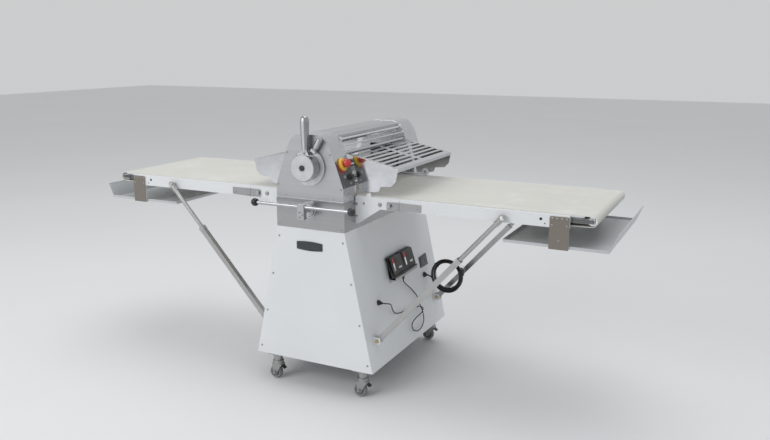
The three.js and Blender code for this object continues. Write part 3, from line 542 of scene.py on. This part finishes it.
def mains_lead():
    points = []
    bend, turned = 0.032, math.radians(69)
    join = on_coil(COIL_START, 0, 0)
    start = join - Vector((bend * math.sin(turned), 0, -bend * (1 - math.cos(turned))))
    over = -0.0165
    steps = 10
    for i in range(steps):
        a = turned * i / steps
        points.append(start + Vector((bend * math.sin(a), over, -bend * (1 - math.cos(a)))))
    per_turn = 48
    count = int(COIL_TURNS * per_turn)
    for i in range(count + 1):
        turn = i / per_turn
        slot = min(int(turn), len(TURN_SLOTS) - 2)
        share = turn - slot
        (r0, y0), (r1, y1) = TURN_SLOTS[slot], TURN_SLOTS[slot + 1]
        back = (y0 + (y1 - y0) * share) * STEP
        arriving = max(0.0, 1 - turn * 7)
        back += (over + STEP) * arriving * arriving * (3 - 2 * arriving)
        points.append(on_coil(COIL_START + 360 * turn, (r0 + (r1 - r0) * share) * STEP, back))
    lead = cord_curve("mains_lead", points, LEAD_R, "mains_cord")
    gland = Piece("mains_gland", "machine", "black_plastic", "black_plastic")
    wall = Vector((cabinet_x(points[0].z) - 0.001, points[0].y, points[0].z))
    gland.lathe([(0, 0), (0.0155, 0), (0.0155, 0.005), (0.013, 0.006), (0.013, 0.011), (0, 0.011)], wall,
                (1, 0, 0), 6)
    reach = points[0] - wall
    strain_relief(gland, wall, reach, reach.length, 0.0105, LEAD_R)
    plug = Piece("mains_plug", "machine", "black_plastic", "black_plastic")
    away = (points[-1] - points[-2]).normalized()
    body = [(0, 0), (0.0052, 0), (0.0062, 0.016), (0.009, 0.019), (0.0125, 0.026), (0.0125, 0.036),
            (0.0105, 0.040), (0.0115, 0.047), (0.0128, 0.050), (0.0128, 0.058), (0, 0.058)]
    plug.lathe(body, points[-1] - away * 0.0002, away, 32)
    pins = Piece("mains_plug_pins", "machine", "chrome", "chrome", 0.0003)
    for offset in (-0.0065, 0.0065):
        foot = points[-1] + away * 0.0575 + Vector((offset, 0, 0))
        pins.lathe([(0, 0), (0.0022, 0), (0.0022, 0.0165), (0.0012, 0.018), (0, 0.018)], foot, away, 14)
    ties = Piece("mains_ties", "machine", "black_plastic", "black_plastic", 0.0002)
    for degrees in (140, 300):
        a = math.radians(degrees)
        ties.ring(on_coil(degrees, 0, 0), (-math.sin(a), 0, math.cos(a)), 0.0134, 0.0011, 32, 8)
    gland.done()
    plug.done()
    pins.done()
    ties.done()


pedal_cord()
mains_lead()


# ---- finish of the CAD nodes ----------------------------------------------------------------------
def finish_nodes():
    looks = {
        "base_frame": ("zinc", 0.0015), "cabinet_shell": ("white_powder", 0.0012),
        "cabinet_front_panel": ("white_powder", 0.0012), "lower_casing": ("casing_steel", 0.001),
        "front_housing": ("satin_mirror", 0.001), "front_cover_plate": ("steel_across", 0.0008),
        "rear_housing": ("satin_mirror", 0.001), "top_cover": ("steel_deep", 0.0008),
        "roller_carrier": ("zinc", 0.0005), "lower_roller": ("chrome", 0), "upper_roller": ("chrome", 0),
        "dial_ring": ("turned_steel_painted_shading", 0.0008), "thickness_lever": ("turned_steel_painted_shading", 0.0012),
        "thickness_stop_knob": ("turned_steel_painted_shading", 0.0008), "direction_bar": ("bar_chrome", 0.0006),
        # the control panel's steel is painted dark to stand in for shade
        "control_panel": ("dark_steel_and_painted_shade", 0.0004), "emergency_stop_button": ("red_plastic", 0.0006),
        "start_button": ("black_gloss", 0.0005), "pedal_holder": ("steel_up", 0.0004),
        "pedal_base": ("black_plastic", 0.0008), "pedal_front": ("black_plastic", 0.0012),
        "pedal_rear": ("black_plastic", 0.0012),
    }
    for side in SIDES:
        looks["guard_" + side] = ("mirror_steel", 0.0003)
        looks["table_bracket_" + side] = ("white_powder", 0.0008)
        looks["table_frame_" + side] = ("white_powder", 0)
        looks["belt_" + side] = looks["inner_belt_" + side] = ("belt_cream", 0.0003)
        looks["drive_roller_" + side] = looks["end_roller_" + side] = ("chrome", 0)
        looks["catch_tray_" + side] = ("grey_sheet", 0.0004)
        looks["latch_knob_" + side] = ("bar_chrome", 0.0005)
        for end in ENDS:
            looks[f"strut_tube_{end}_{side}"] = ("strut_steel", 0.0012)
            looks[f"strut_rod_{end}_{side}"] = ("strut_steel", 0.0004)
            looks[f"caster_fork_{end}_{side}"] = ("zinc", 0.0006)
    for name, (material, width) in looks.items():
        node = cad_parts[name]
        node.data.materials.clear()
        node.data.materials.append(M[material])
        bpy.context.view_layer.objects.active = node
        if node.data.has_custom_normals:
            bpy.ops.mesh.customdata_custom_splitnormals_clear()
        soften(node, width, weld=True)


finish_nodes()


# ---- cabinet --------------------------------------------------------------------------------------
FORWARD = Vector((0, -1, 0))


def cabinet_details():
    screws = Piece("panel_screws", "machine", "zinc", "zinc", 0)
    for x, z in ((0.163, 0.709), (0.202, 0.529), (0.241, 0.347), (0.279, 0.167)):
        for sign in SIDES.values():
            screws.screw(Vector((sign * x, FRONT_Y, z)), FORWARD)
    for x, z in ((-0.1609, 0.7685), (0.1568, 0.7671)):
        screws.screw(Vector((x, FRONT_Y, z)), FORWARD)
    for x, z in ((-0.1093, 1.0881), (-0.1614, 0.944), (0.1063, 1.0881), (0.1574, 0.9428)):
        screws.screw(Vector((x, FRONT_Y, z)), FORWARD, 0.0052)
    for x in (-0.12, 0.12):
        screws.screw(Vector((x, FRONT_Y, 0.9)), FORWARD, 0.003)
    screws.done()
    badge = Piece("blank_badge", "machine", "badge_grey", "black_plastic", 0.0008)
    outline = []
    half_w, half_h, bulge = 0.0655, 0.0165, 0.0045
    for side in (1, -1):
        for i in range(9):
            t = 1 - i / 4
            outline.append((side * t * half_w, side * (half_h + bulge * (1 - t * t))))
    badge.prism(outline, (-0.0045, FRONT_Y + 0.0002, 0.677), (1, 0, 0), (0, 0, 1), FORWARD, 0.0035)
    inner = [(u * 0.9, v * 0.8) for u, v in outline]
    badge.prism(inner, (-0.0045, FRONT_Y - 0.0033, 0.677), (1, 0, 0), (0, 0, 1), FORWARD, 0.0012)
    badge.done()


def side_frame(y, z, lift=0.0):
    """Origin and directions on the right wall: along Y, up the slope, outward."""
    slope = math.atan(0.2127)
    out = Vector((math.cos(slope), 0, math.sin(slope)))
    up = Vector((-math.sin(slope), 0, math.cos(slope)))
    return at(cabinet_x(z), y, z) + out * lift, Vector((0, 1, 0)), up, out


def socket_plate():
    plate = Piece("socket_plate", "machine", "badge_grey", "black_plastic", 0.0008)
    origin, u, v, w = side_frame(0.281, 0.463)
    plate.prism([(-0.045, -0.0285), (0.045, -0.0285), (0.042, 0.031), (-0.045, 0.027)], origin, u, v, w,
                0.004)
    plate.prism([(-0.036, -0.021), (0.036, -0.021), (0.034, 0.022), (-0.036, 0.02)], origin + w * 0.0038, u,
                v, w, 0.002)
    plate.done()


def strut_brackets():
    for name, side in SIDES.items():
        bracket = Piece("strut_brackets_" + name, "machine", "white_powder", "white_powder", 0.0008)
        bolts = Piece("strut_bolts_" + name, "machine", "brass", "zinc", 0.0003)
        for end in ENDS.values():
            x, y, z = side * 0.2945, end * 0.341, 0.263
            wall = side * (cabinet_x(z) + 0.0002)
            slope = -side * 0.2127
            for inner, outer in ((0.0128, 0.0158), (-0.0158, -0.0128)):
                ear = [(wall - side * 0.0035, z - 0.0165), (x + side * 0.012, z - 0.0165),
                       (x + side * 0.0155, z - 0.01),
                       (x + side * 0.0155, z + 0.01), (x + side * 0.012, z + 0.0165), (wall - side * 0.0035,
                                                                                       z + 0.0165)]
                bracket.prism(ear, at(0, y + inner, 0), (1, 0, 0), (0, 0, 1), (0, 1, 0), outer - inner)
            base = [(-0.026, -0.024), (0.026, -0.024), (0.026, 0.024), (-0.026, 0.024)]
            up = Vector((slope, 0, 1)).normalized()
            out = Vector((side * up.z, 0, -side * up.x * 1.0)).normalized()
            bracket.prism(base, at(wall, y, z), (0, 1, 0), up, out, 0.003)
            for tilt in (-1, 1):
                bolts.bolt(at(x, y + tilt * 0.0158, z), (0, tilt, 0), 0.013, 0.008)
        bracket.done()
        bolts.done()


# ---- roller head ----------------------------------------------------------------------------------
HUB = at(0, -0.475, 1.031)


def head_details():
    boss = Piece("bar_boss_rings", "machine", "turned_steel_painted_shading", "stainless", 0.0006)
    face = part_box("lower_casing")[0].y
    for outer, inner, low, high in ((0.036, 0.0305, 0, 0.009), (0.0285, 0.0112, 0, 0.013)):
        boss.lathe([(outer, -low - 0.0065), (outer, high - 0.0065), (inner, high - 0.0065),
                    (inner, -0.0065)], Vector((0, face, 0.8435)), FORWARD, 48, closed=True)
    boss.done()
    seam = Piece("plate_hem", "machine", "steel_across", "stainless", 0.0006)
    seam.block((-0.169, FRONT_Y - 0.0035, 0.8835), (0.169, FRONT_Y - 0.0001, 0.8885))
    seam.done()
    rods = Piece("tie_rods", "machine", "chrome", "chrome", 0.0003)
    collars = Piece("tie_rod_collars", "machine", "pale_label", "white_powder", 0.0006)
    inner = 0.3058
    for side in SIDES.values():
        for x, z, r, flange in ((0.0865, 1.139, 0.0055, 0.0125), (0.101, 1.112, 0.0035, 0.007)):
            rods.rod(at(side * x, -inner, z), at(side * x, inner, z), r)
            for end in ENDS.values():
                collars.lathe([(r + 0.0002, 0), (flange, 0), (flange, 0.007), (r + 0.0002, 0.009)],
                              at(side * x, end * inner, z), (0, -end, 0), 28, closed=True)
    rods.done()
    collars.done()
    eye = Piece("guard_guide_roller", "machine", "white_powder", "white_powder", 0.0008)
    eye.lathe([(0.0055, -0.006), (0.0168, -0.006), (0.0178, -0.0045), (0.0178, 0.0045), (0.0168, 0.006),
               (0.0055, 0.006)], at(0.2384, 0.29, 0.9225), (0, 1, 0), 40, closed=True)
    eye.block(at(0.112, 0.2865, 0.9075), at(0.2225, 0.2935, 0.9145))
    eye.block(at(0.112, 0.2925, 0.9078), at(0.126, 0.3058, 0.9142))
    pin = Piece("guide_roller_pin", "machine", "zinc", "zinc", 0.0003)
    pin.rod(at(0.2384, 0.2825, 0.9225), at(0.2384, 0.2965, 0.9225), 0.0054)
    pin.done()
    eye.done()
    tab = Piece("guard_rest_tab", "machine", "white_powder", "white_powder", 0.0006)
    outline = [(0.226, 0.9), (0.25, 0.9), (0.2465, 0.917), (0.2295, 0.917)]
    tab.prism(outline, at(0, -0.3205, 0), (1, 0, 0), (0, 0, 1), (0, 1, 0), 0.003)
    tab.done()


def lever_details():
    cap = Piece("lever_hub_cap", "thickness_lever", "black_plastic", "black_plastic", 0.0004)
    cap.lathe([(0, -0.002), (0.0127, -0.002), (0.0127, 0.002), (0.0108, 0.0042), (0.0045, 0.0048),
               (0.0042, 0.0028), (0, 0.0028)], HUB, FORWARD, 36)
    cap.done()
    rim = Piece("lever_hub_rim", "thickness_lever", "steel_across", "stainless", 0.0004)
    rim.ring(HUB + Vector((0, 0.0032, 0)), FORWARD, 0.0528, 0.0007, 56, 8)
    rim.ring(HUB + Vector((0, 0.0002, 0)), FORWARD, 0.0162, 0.0008, 40, 8)
    rim.done()
    scale = Piece("dial_marks", "machine", "dark_print_and_hole_shade", "black_plastic", 0)
    plane = at(0, -0.4284, 1.031).y
    for i in range(31):
        angle = math.radians(-80 + 90 * i / 30)
        long = i % 5 == 0
        u = Vector((math.cos(angle), 0, -math.sin(angle)))
        v = Vector((math.sin(angle), 0, math.cos(angle)))
        start = 0.0805 - (0.012 if long else 0.0075)
        half = 0.0007 if long else 0.00045
        outline = [(-half, start), (half, start), (half, 0.0805), (-half, 0.0805)]
        scale.prism(outline, Vector((0, plane, 1.031)), u, v, FORWARD, 0.00025)
    scale.done()
    knob = Piece("stop_knob_grooves", "stop_knob", "steel_up", "stainless", 0)
    tilt = math.radians(29.5)
    along = Vector((math.sin(tilt), 0, math.cos(tilt)))
    for d in (0.104, 0.133):
        knob.ring(at(0, -0.44, 1.031) + along * d, along, 0.0129, 0.0006, 36, 8)
    knob.done()


def direction_details():
    face = at(0, -0.496, 0)
    bolts = Piece("bar_clamp_screws", "direction_lever", "zinc", "zinc", 0.0002)
    for z in (0.8215, 0.8455):
        bolts.screw(Vector((-0.004, face.y, z)), FORWARD, 0.0058)
    bolts.bolt(Vector((0, face.y, 0.8335)) + Vector((0.009, 0, 0)), FORWARD, 0.007, 0.003)
    bolts.done()
    for name, side in SIDES.items():
        ball = Piece("direction_knob_" + name, "direction_lever", "black_gloss", "black_plastic", 0,
                     ["direction_ball_" + name])
        r, reach = 0.018, 0.0113
        profile = [(0, -reach), (0.0135, -reach)]
        for i in range(25):
            a = math.radians(-37 + 127 * i / 24)
            profile.append((max(0.0, r * math.cos(a)) if i < 24 else 0.0, r * math.sin(a)))
        ball.lathe(profile, at(side * 0.2416, -0.484, 0.8656), (side, 0, 0), 40)
        ball.done()


# ---- controls -------------------------------------------------------------------------------------
PANEL_OUT = Vector((0.9409, 0, 0.3387))
PANEL_UP = Vector((-0.3387, 0, 0.9409))


def on_panel(y, z, lift):
    shoulder_x, shoulder_z, knee_x, knee_z = 0.115, 1.093, 0.169, 0.943
    x = shoulder_x + (shoulder_z - z) * (knee_x - shoulder_x) / (shoulder_z - knee_z)
    return at(x, y, z) + PANEL_OUT * lift


def control_details():
    ring = Piece("stop_ring", "machine", "yellow_plastic", "red_plastic", 0.0008)
    ring.lathe([(0.0113, 0.0024), (0.0285, 0.0024), (0.0285, 0.0075), (0.0245, 0.0125), (0.0168, 0.0135),
                (0.0125, 0.0135), (0.0113, 0.0105)], on_panel(-0.37, 1.041, 0), PANEL_OUT, 48, closed=True)
    ring.done()
    label = Piece("stop_backing", "machine", "dark_red_and_groove_shade", "red_plastic", 0.0002)
    outline = [(-0.0405, -0.024), (0.0, -0.024), (0.0, 0.0235), (-0.0405, 0.0235)]
    label.prism(outline, on_panel(-0.368, 1.029, 0.0023), (0, 1, 0), PANEL_UP, PANEL_OUT, 0.0006)
    label.done()
    # painted shade: a dark red ring stands in for the shade in the stop button's groove
    grooves = Piece("stop_groove_painted_shade", "emergency_stop", "dark_red_and_groove_shade", "red_plastic", 0)
    grooves.ring(on_panel(-0.37, 1.041, 0.0385), PANEL_OUT, 0.0152, 0.0007, 40, 8)
    grooves.done()
    collar = Piece("start_collar", "machine", "black_plastic", "black_plastic", 0.0004)
    collar.lathe([(0.0074, 0.0024), (0.0145, 0.0024), (0.014, 0.0065), (0.0125, 0.0078), (0.0074, 0.0078)],
                 on_panel(-0.336, 0.985, 0), PANEL_OUT, 36, closed=True)
    collar.done()
    plates = Piece("panel_labels", "machine", "steel_up", "grey_sheet", 0.0001)
    for y, z, w, h in ((-0.378, 0.99, 0.009, 0.006), (-0.345, 0.96, 0.007, 0.004)):
        plates.prism([(-w, -h), (w, -h), (w, h), (-w, h)], on_panel(y, z, 0.0023), (0, 1, 0), PANEL_UP,
                     PANEL_OUT, 0.0004)
    plates.done()
    screws = Piece("control_screws", "machine", "zinc", "zinc", 0)
    for y in (-0.41, -0.314):
        for z in (0.952, 1.05):
            screws.screw(on_panel(y, z, 0.0023), PANEL_OUT, 0.0032)
    screws.done()


def foot_switch_details():
    tilt = math.radians(23.5)
    down = Vector((math.sin(tilt), 0, -math.cos(tilt)))
    out = Vector((math.cos(tilt), 0, math.sin(tilt)))
    across = Vector((0, 1, 0))
    top = at(0.2136, 0.006, 0.571)
    for end, sign in ENDS.items():
        middle_y = sign * 0.062
        face = top + across * middle_y
        slant = math.atan2(0.009, 0.080)
        run = (down * math.cos(slant) - out * math.sin(slant)).normalized()
        normal = (out * math.cos(slant) + down * math.sin(slant)).normalized()
        start = face + down * 0.012 + out * 0.023
        ribs = Piece("pedal_grip_" + end, "pedal_" + end, "black_plastic", "black_plastic", 0.0003)
        for i in range(9):
            y = (i - 4) * 0.0118
            ribs.prism([(y - 0.0025, 0.006), (y + 0.0025, 0.006), (y + 0.0025, 0.07), (y - 0.0025, 0.07)],
                       start, across, run, normal, 0.0009)
        ribs.done()
        for part, material, low, high in (("red", "red_plastic", 0.001, 0.024),
                                          ("bright", "chrome", 0.0245, 0.062)):
            stripe = Piece(f"pedal_stripe_{part}_{end}", "pedal_" + end, material,
                           "red_plastic" if part == "red" else "chrome", 0.0002)
            stripe.prism([(-0.044, low), (-0.0305, low), (-0.0305, high), (-0.044, high)], start, across,
                         run, normal, 0.0013)
            stripe.done()
        label = Piece("pedal_label_" + end, "pedal_" + end, "pale_label", "grey_sheet", 0.0002)
        label.prism([(0.004, 0.05), (0.036, 0.05), (0.036, 0.074), (0.004, 0.074)], start, across, run,
                    normal, 0.0012)
        label.done()
    bolts = Piece("foot_switch_screws", "machine", "zinc", "zinc", 0)
    for sign in ENDS.values():
        origin, _, _, w = side_frame(0.013 + sign * 0.1, 0.462, 0.0022)
        bolts.screw(origin, w, 0.0042)
    bolts.done()


# ---- tables ---------------------------------------------------------------------------------------
def bracket_details(name, side):
    plates = Piece("latch_plates_" + name, "machine", "casing_steel", "stainless", 0.0005)
    screws = Piece("bracket_screws_" + name, "machine", "zinc", "zinc", 0)
    fold = 0.384
    for end in ENDS.values():
        face = end * RAIL_Y
        normal = (0, end, 0)
        outline = [(0.325, 0.853), (fold - 0.001, 0.851), (fold - 0.001, 0.889), (0.33, 0.888),
                   (0.325, 0.883)]
        plates.prism([(side * x, z) for x, z in outline], at(0, face, 0), (1, 0, 0), (0, 0, 1), normal,
                     0.0025)
        for x, z, r in ((0.179, 0.866, 0.0055), (0.214, 0.871, 0.0055), (0.178, 0.813, 0.005),
                        (0.371, 0.858, 0.004), (0.371, 0.883, 0.004)):
            lift = 0.0025 if x > 0.32 else 0
            screws.screw(at(side * x, face + end * lift, z), normal, r)
        screws.bolt(at(side * 0.291, face, 0.872), normal, 0.014, 0.006)
    plates.done()
    screws.done()


def table_details(name, side):
    body = "table_" + name
    hangers = Piece("tray_hangers_" + name, body, "hanger_paint", "grey_sheet", 0.0006)
    screws = Piece("table_screws_" + name, body, "zinc", "zinc", 0)
    plates = Piece("table_latch_plates_" + name, body, "casing_steel", "stainless", 0.0005)
    painted_hole_shades = Piece("rail_hole_painted_shades_" + name, body, "dark_print_and_hole_shade", "black_plastic", 0)
    heads = Piece("strut_head_bolts_" + name, body, "chrome", "chrome", 0.0003)
    ends = Piece("end_bearings_" + name, body, "dark_steel_and_painted_shade", "stainless", 0.0004)
    for end in ENDS.values():
        normal = (0, end, 0)
        face = end * (RAIL_Y + 0.003)
        outline = [(1.0275, 0.7655), (1.1045, 0.7655), (1.1045, 0.893), (1.0995, 0.8975), (1.0325, 0.8975),
                   (1.0275, 0.893)]
        hangers.prism([(side * x, z) for x, z in outline], at(0, face + end * 0.0002, 0), (1, 0, 0),
                      (0, 0, 1), normal, 0.0018)
        for x, z in ((1.038, 0.889), (1.057, 0.889), (1.076, 0.889), (1.095, 0.889), (1.038, 0.862),
                     (1.095, 0.862), (1.066, 0.802)):
            screws.screw(at(side * x, face + end * 0.002, z), normal, 0.0042)
        outline = [(0.385, 0.851), (0.485, 0.855), (0.485, 0.887), (0.385, 0.889)]
        plates.prism([(side * x, z) for x, z in outline], at(0, end * RAIL_Y, 0), (1, 0, 0), (0, 0, 1),
                     normal, 0.0025)
        for x, z in ((0.398, 0.859), (0.398, 0.881), (0.467, 0.871), (0.475, 0.862)):
            screws.screw(at(side * x, end * (RAIL_Y + 0.0025), z), normal, 0.004)
        # painted shade: thin dark discs on the rail stand in for the shaded holes
        for x, z, r in ((0.992, 0.881, 0.0058), (1.0085, 0.864, 0.0026)):
            painted_hole_shades.lathe([(0, 0.0001), (r, 0.0001), (r, 0.0005), (0, 0.0005)], at(side * x, end * RAIL_Y, z),
                        normal, 20)
        heads.lathe([(0, 0), (0.0055, 0), (0.0055, 0.024), (0, 0.024)],
                    at(side * 0.842, end * (RAIL_Y - 0.001), 0.872), normal, 18)
        heads.bolt(at(side * 0.842, end * 0.3455, 0.872), normal, 0.013, 0.007)
        plate = [(1.1045, 0.8715), (1.168, 0.8715), (1.176, 0.8745), (1.176, 0.8885), (1.168, 0.8915),
                 (1.1045, 0.8915)]
        ends.prism([(side * x, z) for x, z in plate], at(0, end * 0.2942, 0), (1, 0, 0), (0, 0, 1), normal,
                   0.003)
        ends.bolt(at(side * 1.184, end * 0.2972, 0.8816), normal, 0.013, 0.004)
        ends.rod(at(side * 1.11, end * 0.2985, 0.8816), at(side * 1.174, end * 0.2985, 0.8816), 0.0025)
        ends.bolt(at(side * 1.152, end * 0.2985, 0.8816), (side, 0, 0), 0.0075, 0.005)
    for piece in (hangers, screws, plates, painted_hole_shades, heads, ends):
        piece.done()


def tray_details(name, side):
    hem = Piece("tray_hem_" + name, "tray_" + name, "grey_sheet", "grey_sheet", 0)
    hem.rod(at(side * 1.2848, -0.316, 0.8385), at(side * 1.2848, 0.316, 0.8385), 0.0022, 12)
    hem.rod(at(side * 0.841, -0.316, 0.7815), at(side * 0.841, 0.316, 0.7815), 0.0018, 12)
    hem.done()


# ---- struts and casters -----------------------------------------------------------------------------
def strut_details():
    along = Vector((0.66858, 0, 0.74368))
    for name, side in SIDES.items():
        lean = Vector((side * along.x, 0, along.z))
        for end_name, end in ENDS.items():
            foot = at(side * 0.2945, end * 0.341, 0.263)
            collar = Piece(f"strut_collar_{end_name}_{name}", f"strut_tube_{end_name}_{name}", "steel_up",
                           "chrome", 0.0005)
            across = Vector((0, 1, 0))
            up = lean.cross(across)
            h, inner = 0.0131, 0.01215
            outer_ring = [(-h, -h), (h, -h), (h, h), (-h, h)]
            inner_ring = [(-inner, -inner), (inner, -inner), (inner, inner), (-inner, inner)]
            rings = []
            for ring, d in ((outer_ring, 0.538), (outer_ring, 0.558), (inner_ring, 0.558),
                            (inner_ring, 0.538)):
                rings.append([foot + lean * d + across * a + up * b for a, b in ring])
            collar.hull(rings, closed=True)
            collar.screw(foot + lean * 0.548 + across * end * h, (0, end, 0), 0.0042)
            collar.done()


def caster_details():
    r, w = 0.0315, 0.012
    wheel_profile = [(0.0053, -w), (0.012, -w - 0.0006), (0.013, -w + 0.002), (0.0205, -w + 0.003),
                     (0.0225, -w), (0.0275, -w)]
    for i in range(9):
        a = math.radians(-90 + 180 * i / 8)
        wheel_profile.append((r - 0.0045 + 0.0045 * math.cos(a), (w - 0.004) * math.sin(a)))
    wheel_profile += [(x, -y) for x, y in reversed(wheel_profile[:6])]
    for name, side in SIDES.items():
        for end_name, end in ENDS.items():
            label = f"{end_name}_{name}"
            centre = at(side * 0.226, end * 0.384, 0.0315)
            wheel = Piece("wheel_" + label, "caster_wheel_" + label, "grey_rubber", "grey_rubber", 0,
                          ["caster_wheel_" + label])
            wheel.lathe(wheel_profile, centre, (0, 1, 0), 48, closed=True)
            wheel.done()
            hub = Piece("wheel_hub_" + label, "caster_wheel_" + label, "black_plastic", "black_plastic",
                        0.0003)
            for face in (-1, 1):
                hub.ring(centre + Vector((0, face * (w - 0.0022), 0)), (0, 1, 0), 0.0168, 0.0012, 32, 8)
            hub.done()
            fork = Piece("caster_bolts_" + label, "caster_fork_" + label, "zinc", "zinc", 0.0003)
            for face in (-1, 1):
                fork.bolt(centre + Vector((0, face * 0.0208, 0)), (0, face, 0), 0.011, 0.0045)
            crown = at(side * 0.226 + 0.011, end * 0.384, 0.0)
            fork.ring(crown + Vector((0, 0, 0.083)), (0, 0, 1), 0.0262, 0.0011, 36, 8)
            fork.done()
            plate = Piece("caster_plate_" + label, "machine", "zinc", "zinc", 0.0004)
            for dx in (-0.028, 0.028):
                for dy in (-0.024, 0.024):
                    plate.bolt(crown + Vector((dx, dy, 0.1269)), (0, 0, -1), 0.009, 0.005)
            plate.done()
            brake = Piece("caster_brake_" + label, "caster_fork_" + label, "black_plastic", "black_plastic",
                          0.0008)
            outline = [(0.012, 0.0655), (0.04, 0.0605), (0.0505, 0.054), (0.0515, 0.057), (0.041, 0.0645),
                       (0.0375, 0.069), (0.012, 0.0702)]
            brake.prism(outline, at(side * 0.226, end * 0.384 - 0.0115, 0), (1, 0, 0), (0, 0, 1), (0, 1, 0),
                        0.023)
            brake.done()


def build():
    cabinet_details()
    socket_plate()
    strut_brackets()
    head_details()
    lever_details()
    direction_details()
    control_details()
    foot_switch_details()
    for name, side in SIDES.items():
        bracket_details(name, side)
        table_details(name, side)
        tray_details(name, side)
    strut_details()
    caster_details()


build()


# ---- floor, light -----------------------------------------------------------------------------------
def make_stage():
    mesh = bpy.data.meshes.new("floor")
    h = FLOOR_SIZE / 2
    mesh.from_pydata([(-h, -h, 0), (h, -h, 0), (h, h, 0), (-h, h, 0)], [], [(0, 1, 2, 3)])
    floor = bpy.data.objects.new("floor", mesh)
    bpy.context.scene.collection.objects.link(floor)
    s = Surface("floor")
    tone = s.mix(s.remap(s.noise(0.7), 0.3, 0.7, 0, 1), rgb(0.79, 0.795, 0.8), rgb(0.81, 0.815, 0.82))
    s.set(Base_Color=tone, Roughness=0.7)
    mesh.materials.append(s.material)
    world = bpy.data.worlds.new("studio")
    bpy.context.scene.world = world
    world.use_nodes = True
    tree = world.node_tree
    tree.nodes.clear()
    out = tree.nodes.new("ShaderNodeOutputWorld")
    seen, light = tree.nodes.new("ShaderNodeBackground"), tree.nodes.new("ShaderNodeBackground")
    seen.inputs[0].default_value, seen.inputs[1].default_value = rgb(0.6, 0.605, 0.61), 1.0
    light.inputs[0].default_value, light.inputs[1].default_value = rgb(0.96, 0.98, 1.0), 0.58
    path, mixer = tree.nodes.new("ShaderNodeLightPath"), tree.nodes.new("ShaderNodeMixShader")
    either = path.outputs["Is Camera Ray"]
    for other in ("Is Glossy Ray", "Is Transmission Ray"):
        larger = tree.nodes.new("ShaderNodeMath")
        larger.operation = "MAXIMUM"
        tree.links.new(either, larger.inputs[0])
        tree.links.new(path.outputs[other], larger.inputs[1])
        either = larger.outputs[0]
    tree.links.new(either, mixer.inputs[0])
    tree.links.new(light.outputs[0], mixer.inputs[1])
    tree.links.new(seen.outputs[0], mixer.inputs[2])
    tree.links.new(mixer.outputs[0], out.inputs[0])


def area_light(name, where, aim, size, power, color=(1, 1, 1)):
    data = bpy.data.lights.new(name, "AREA")
    data.shape = "RECTANGLE"
    data.size, data.size_y = size
    data.energy = power
    data.color = color
    lamp = bpy.data.objects.new(name, data)
    bpy.context.scene.collection.objects.link(lamp)
    lamp.location = where
    lamp.rotation_euler = (Vector(aim) - Vector(where)).to_track_quat("-Z", "Y").to_euler()


make_stage()
area_light("key", (-3.0, -6.4, 4.6), (0, 0, 0.7), (4.4, 3.4), 200)
area_light("top", (0.4, 0.6, 6.0), (0, 0, 0.6), (5.0, 4.0), 100)
bpy.context.scene.view_settings.view_transform = "Standard"
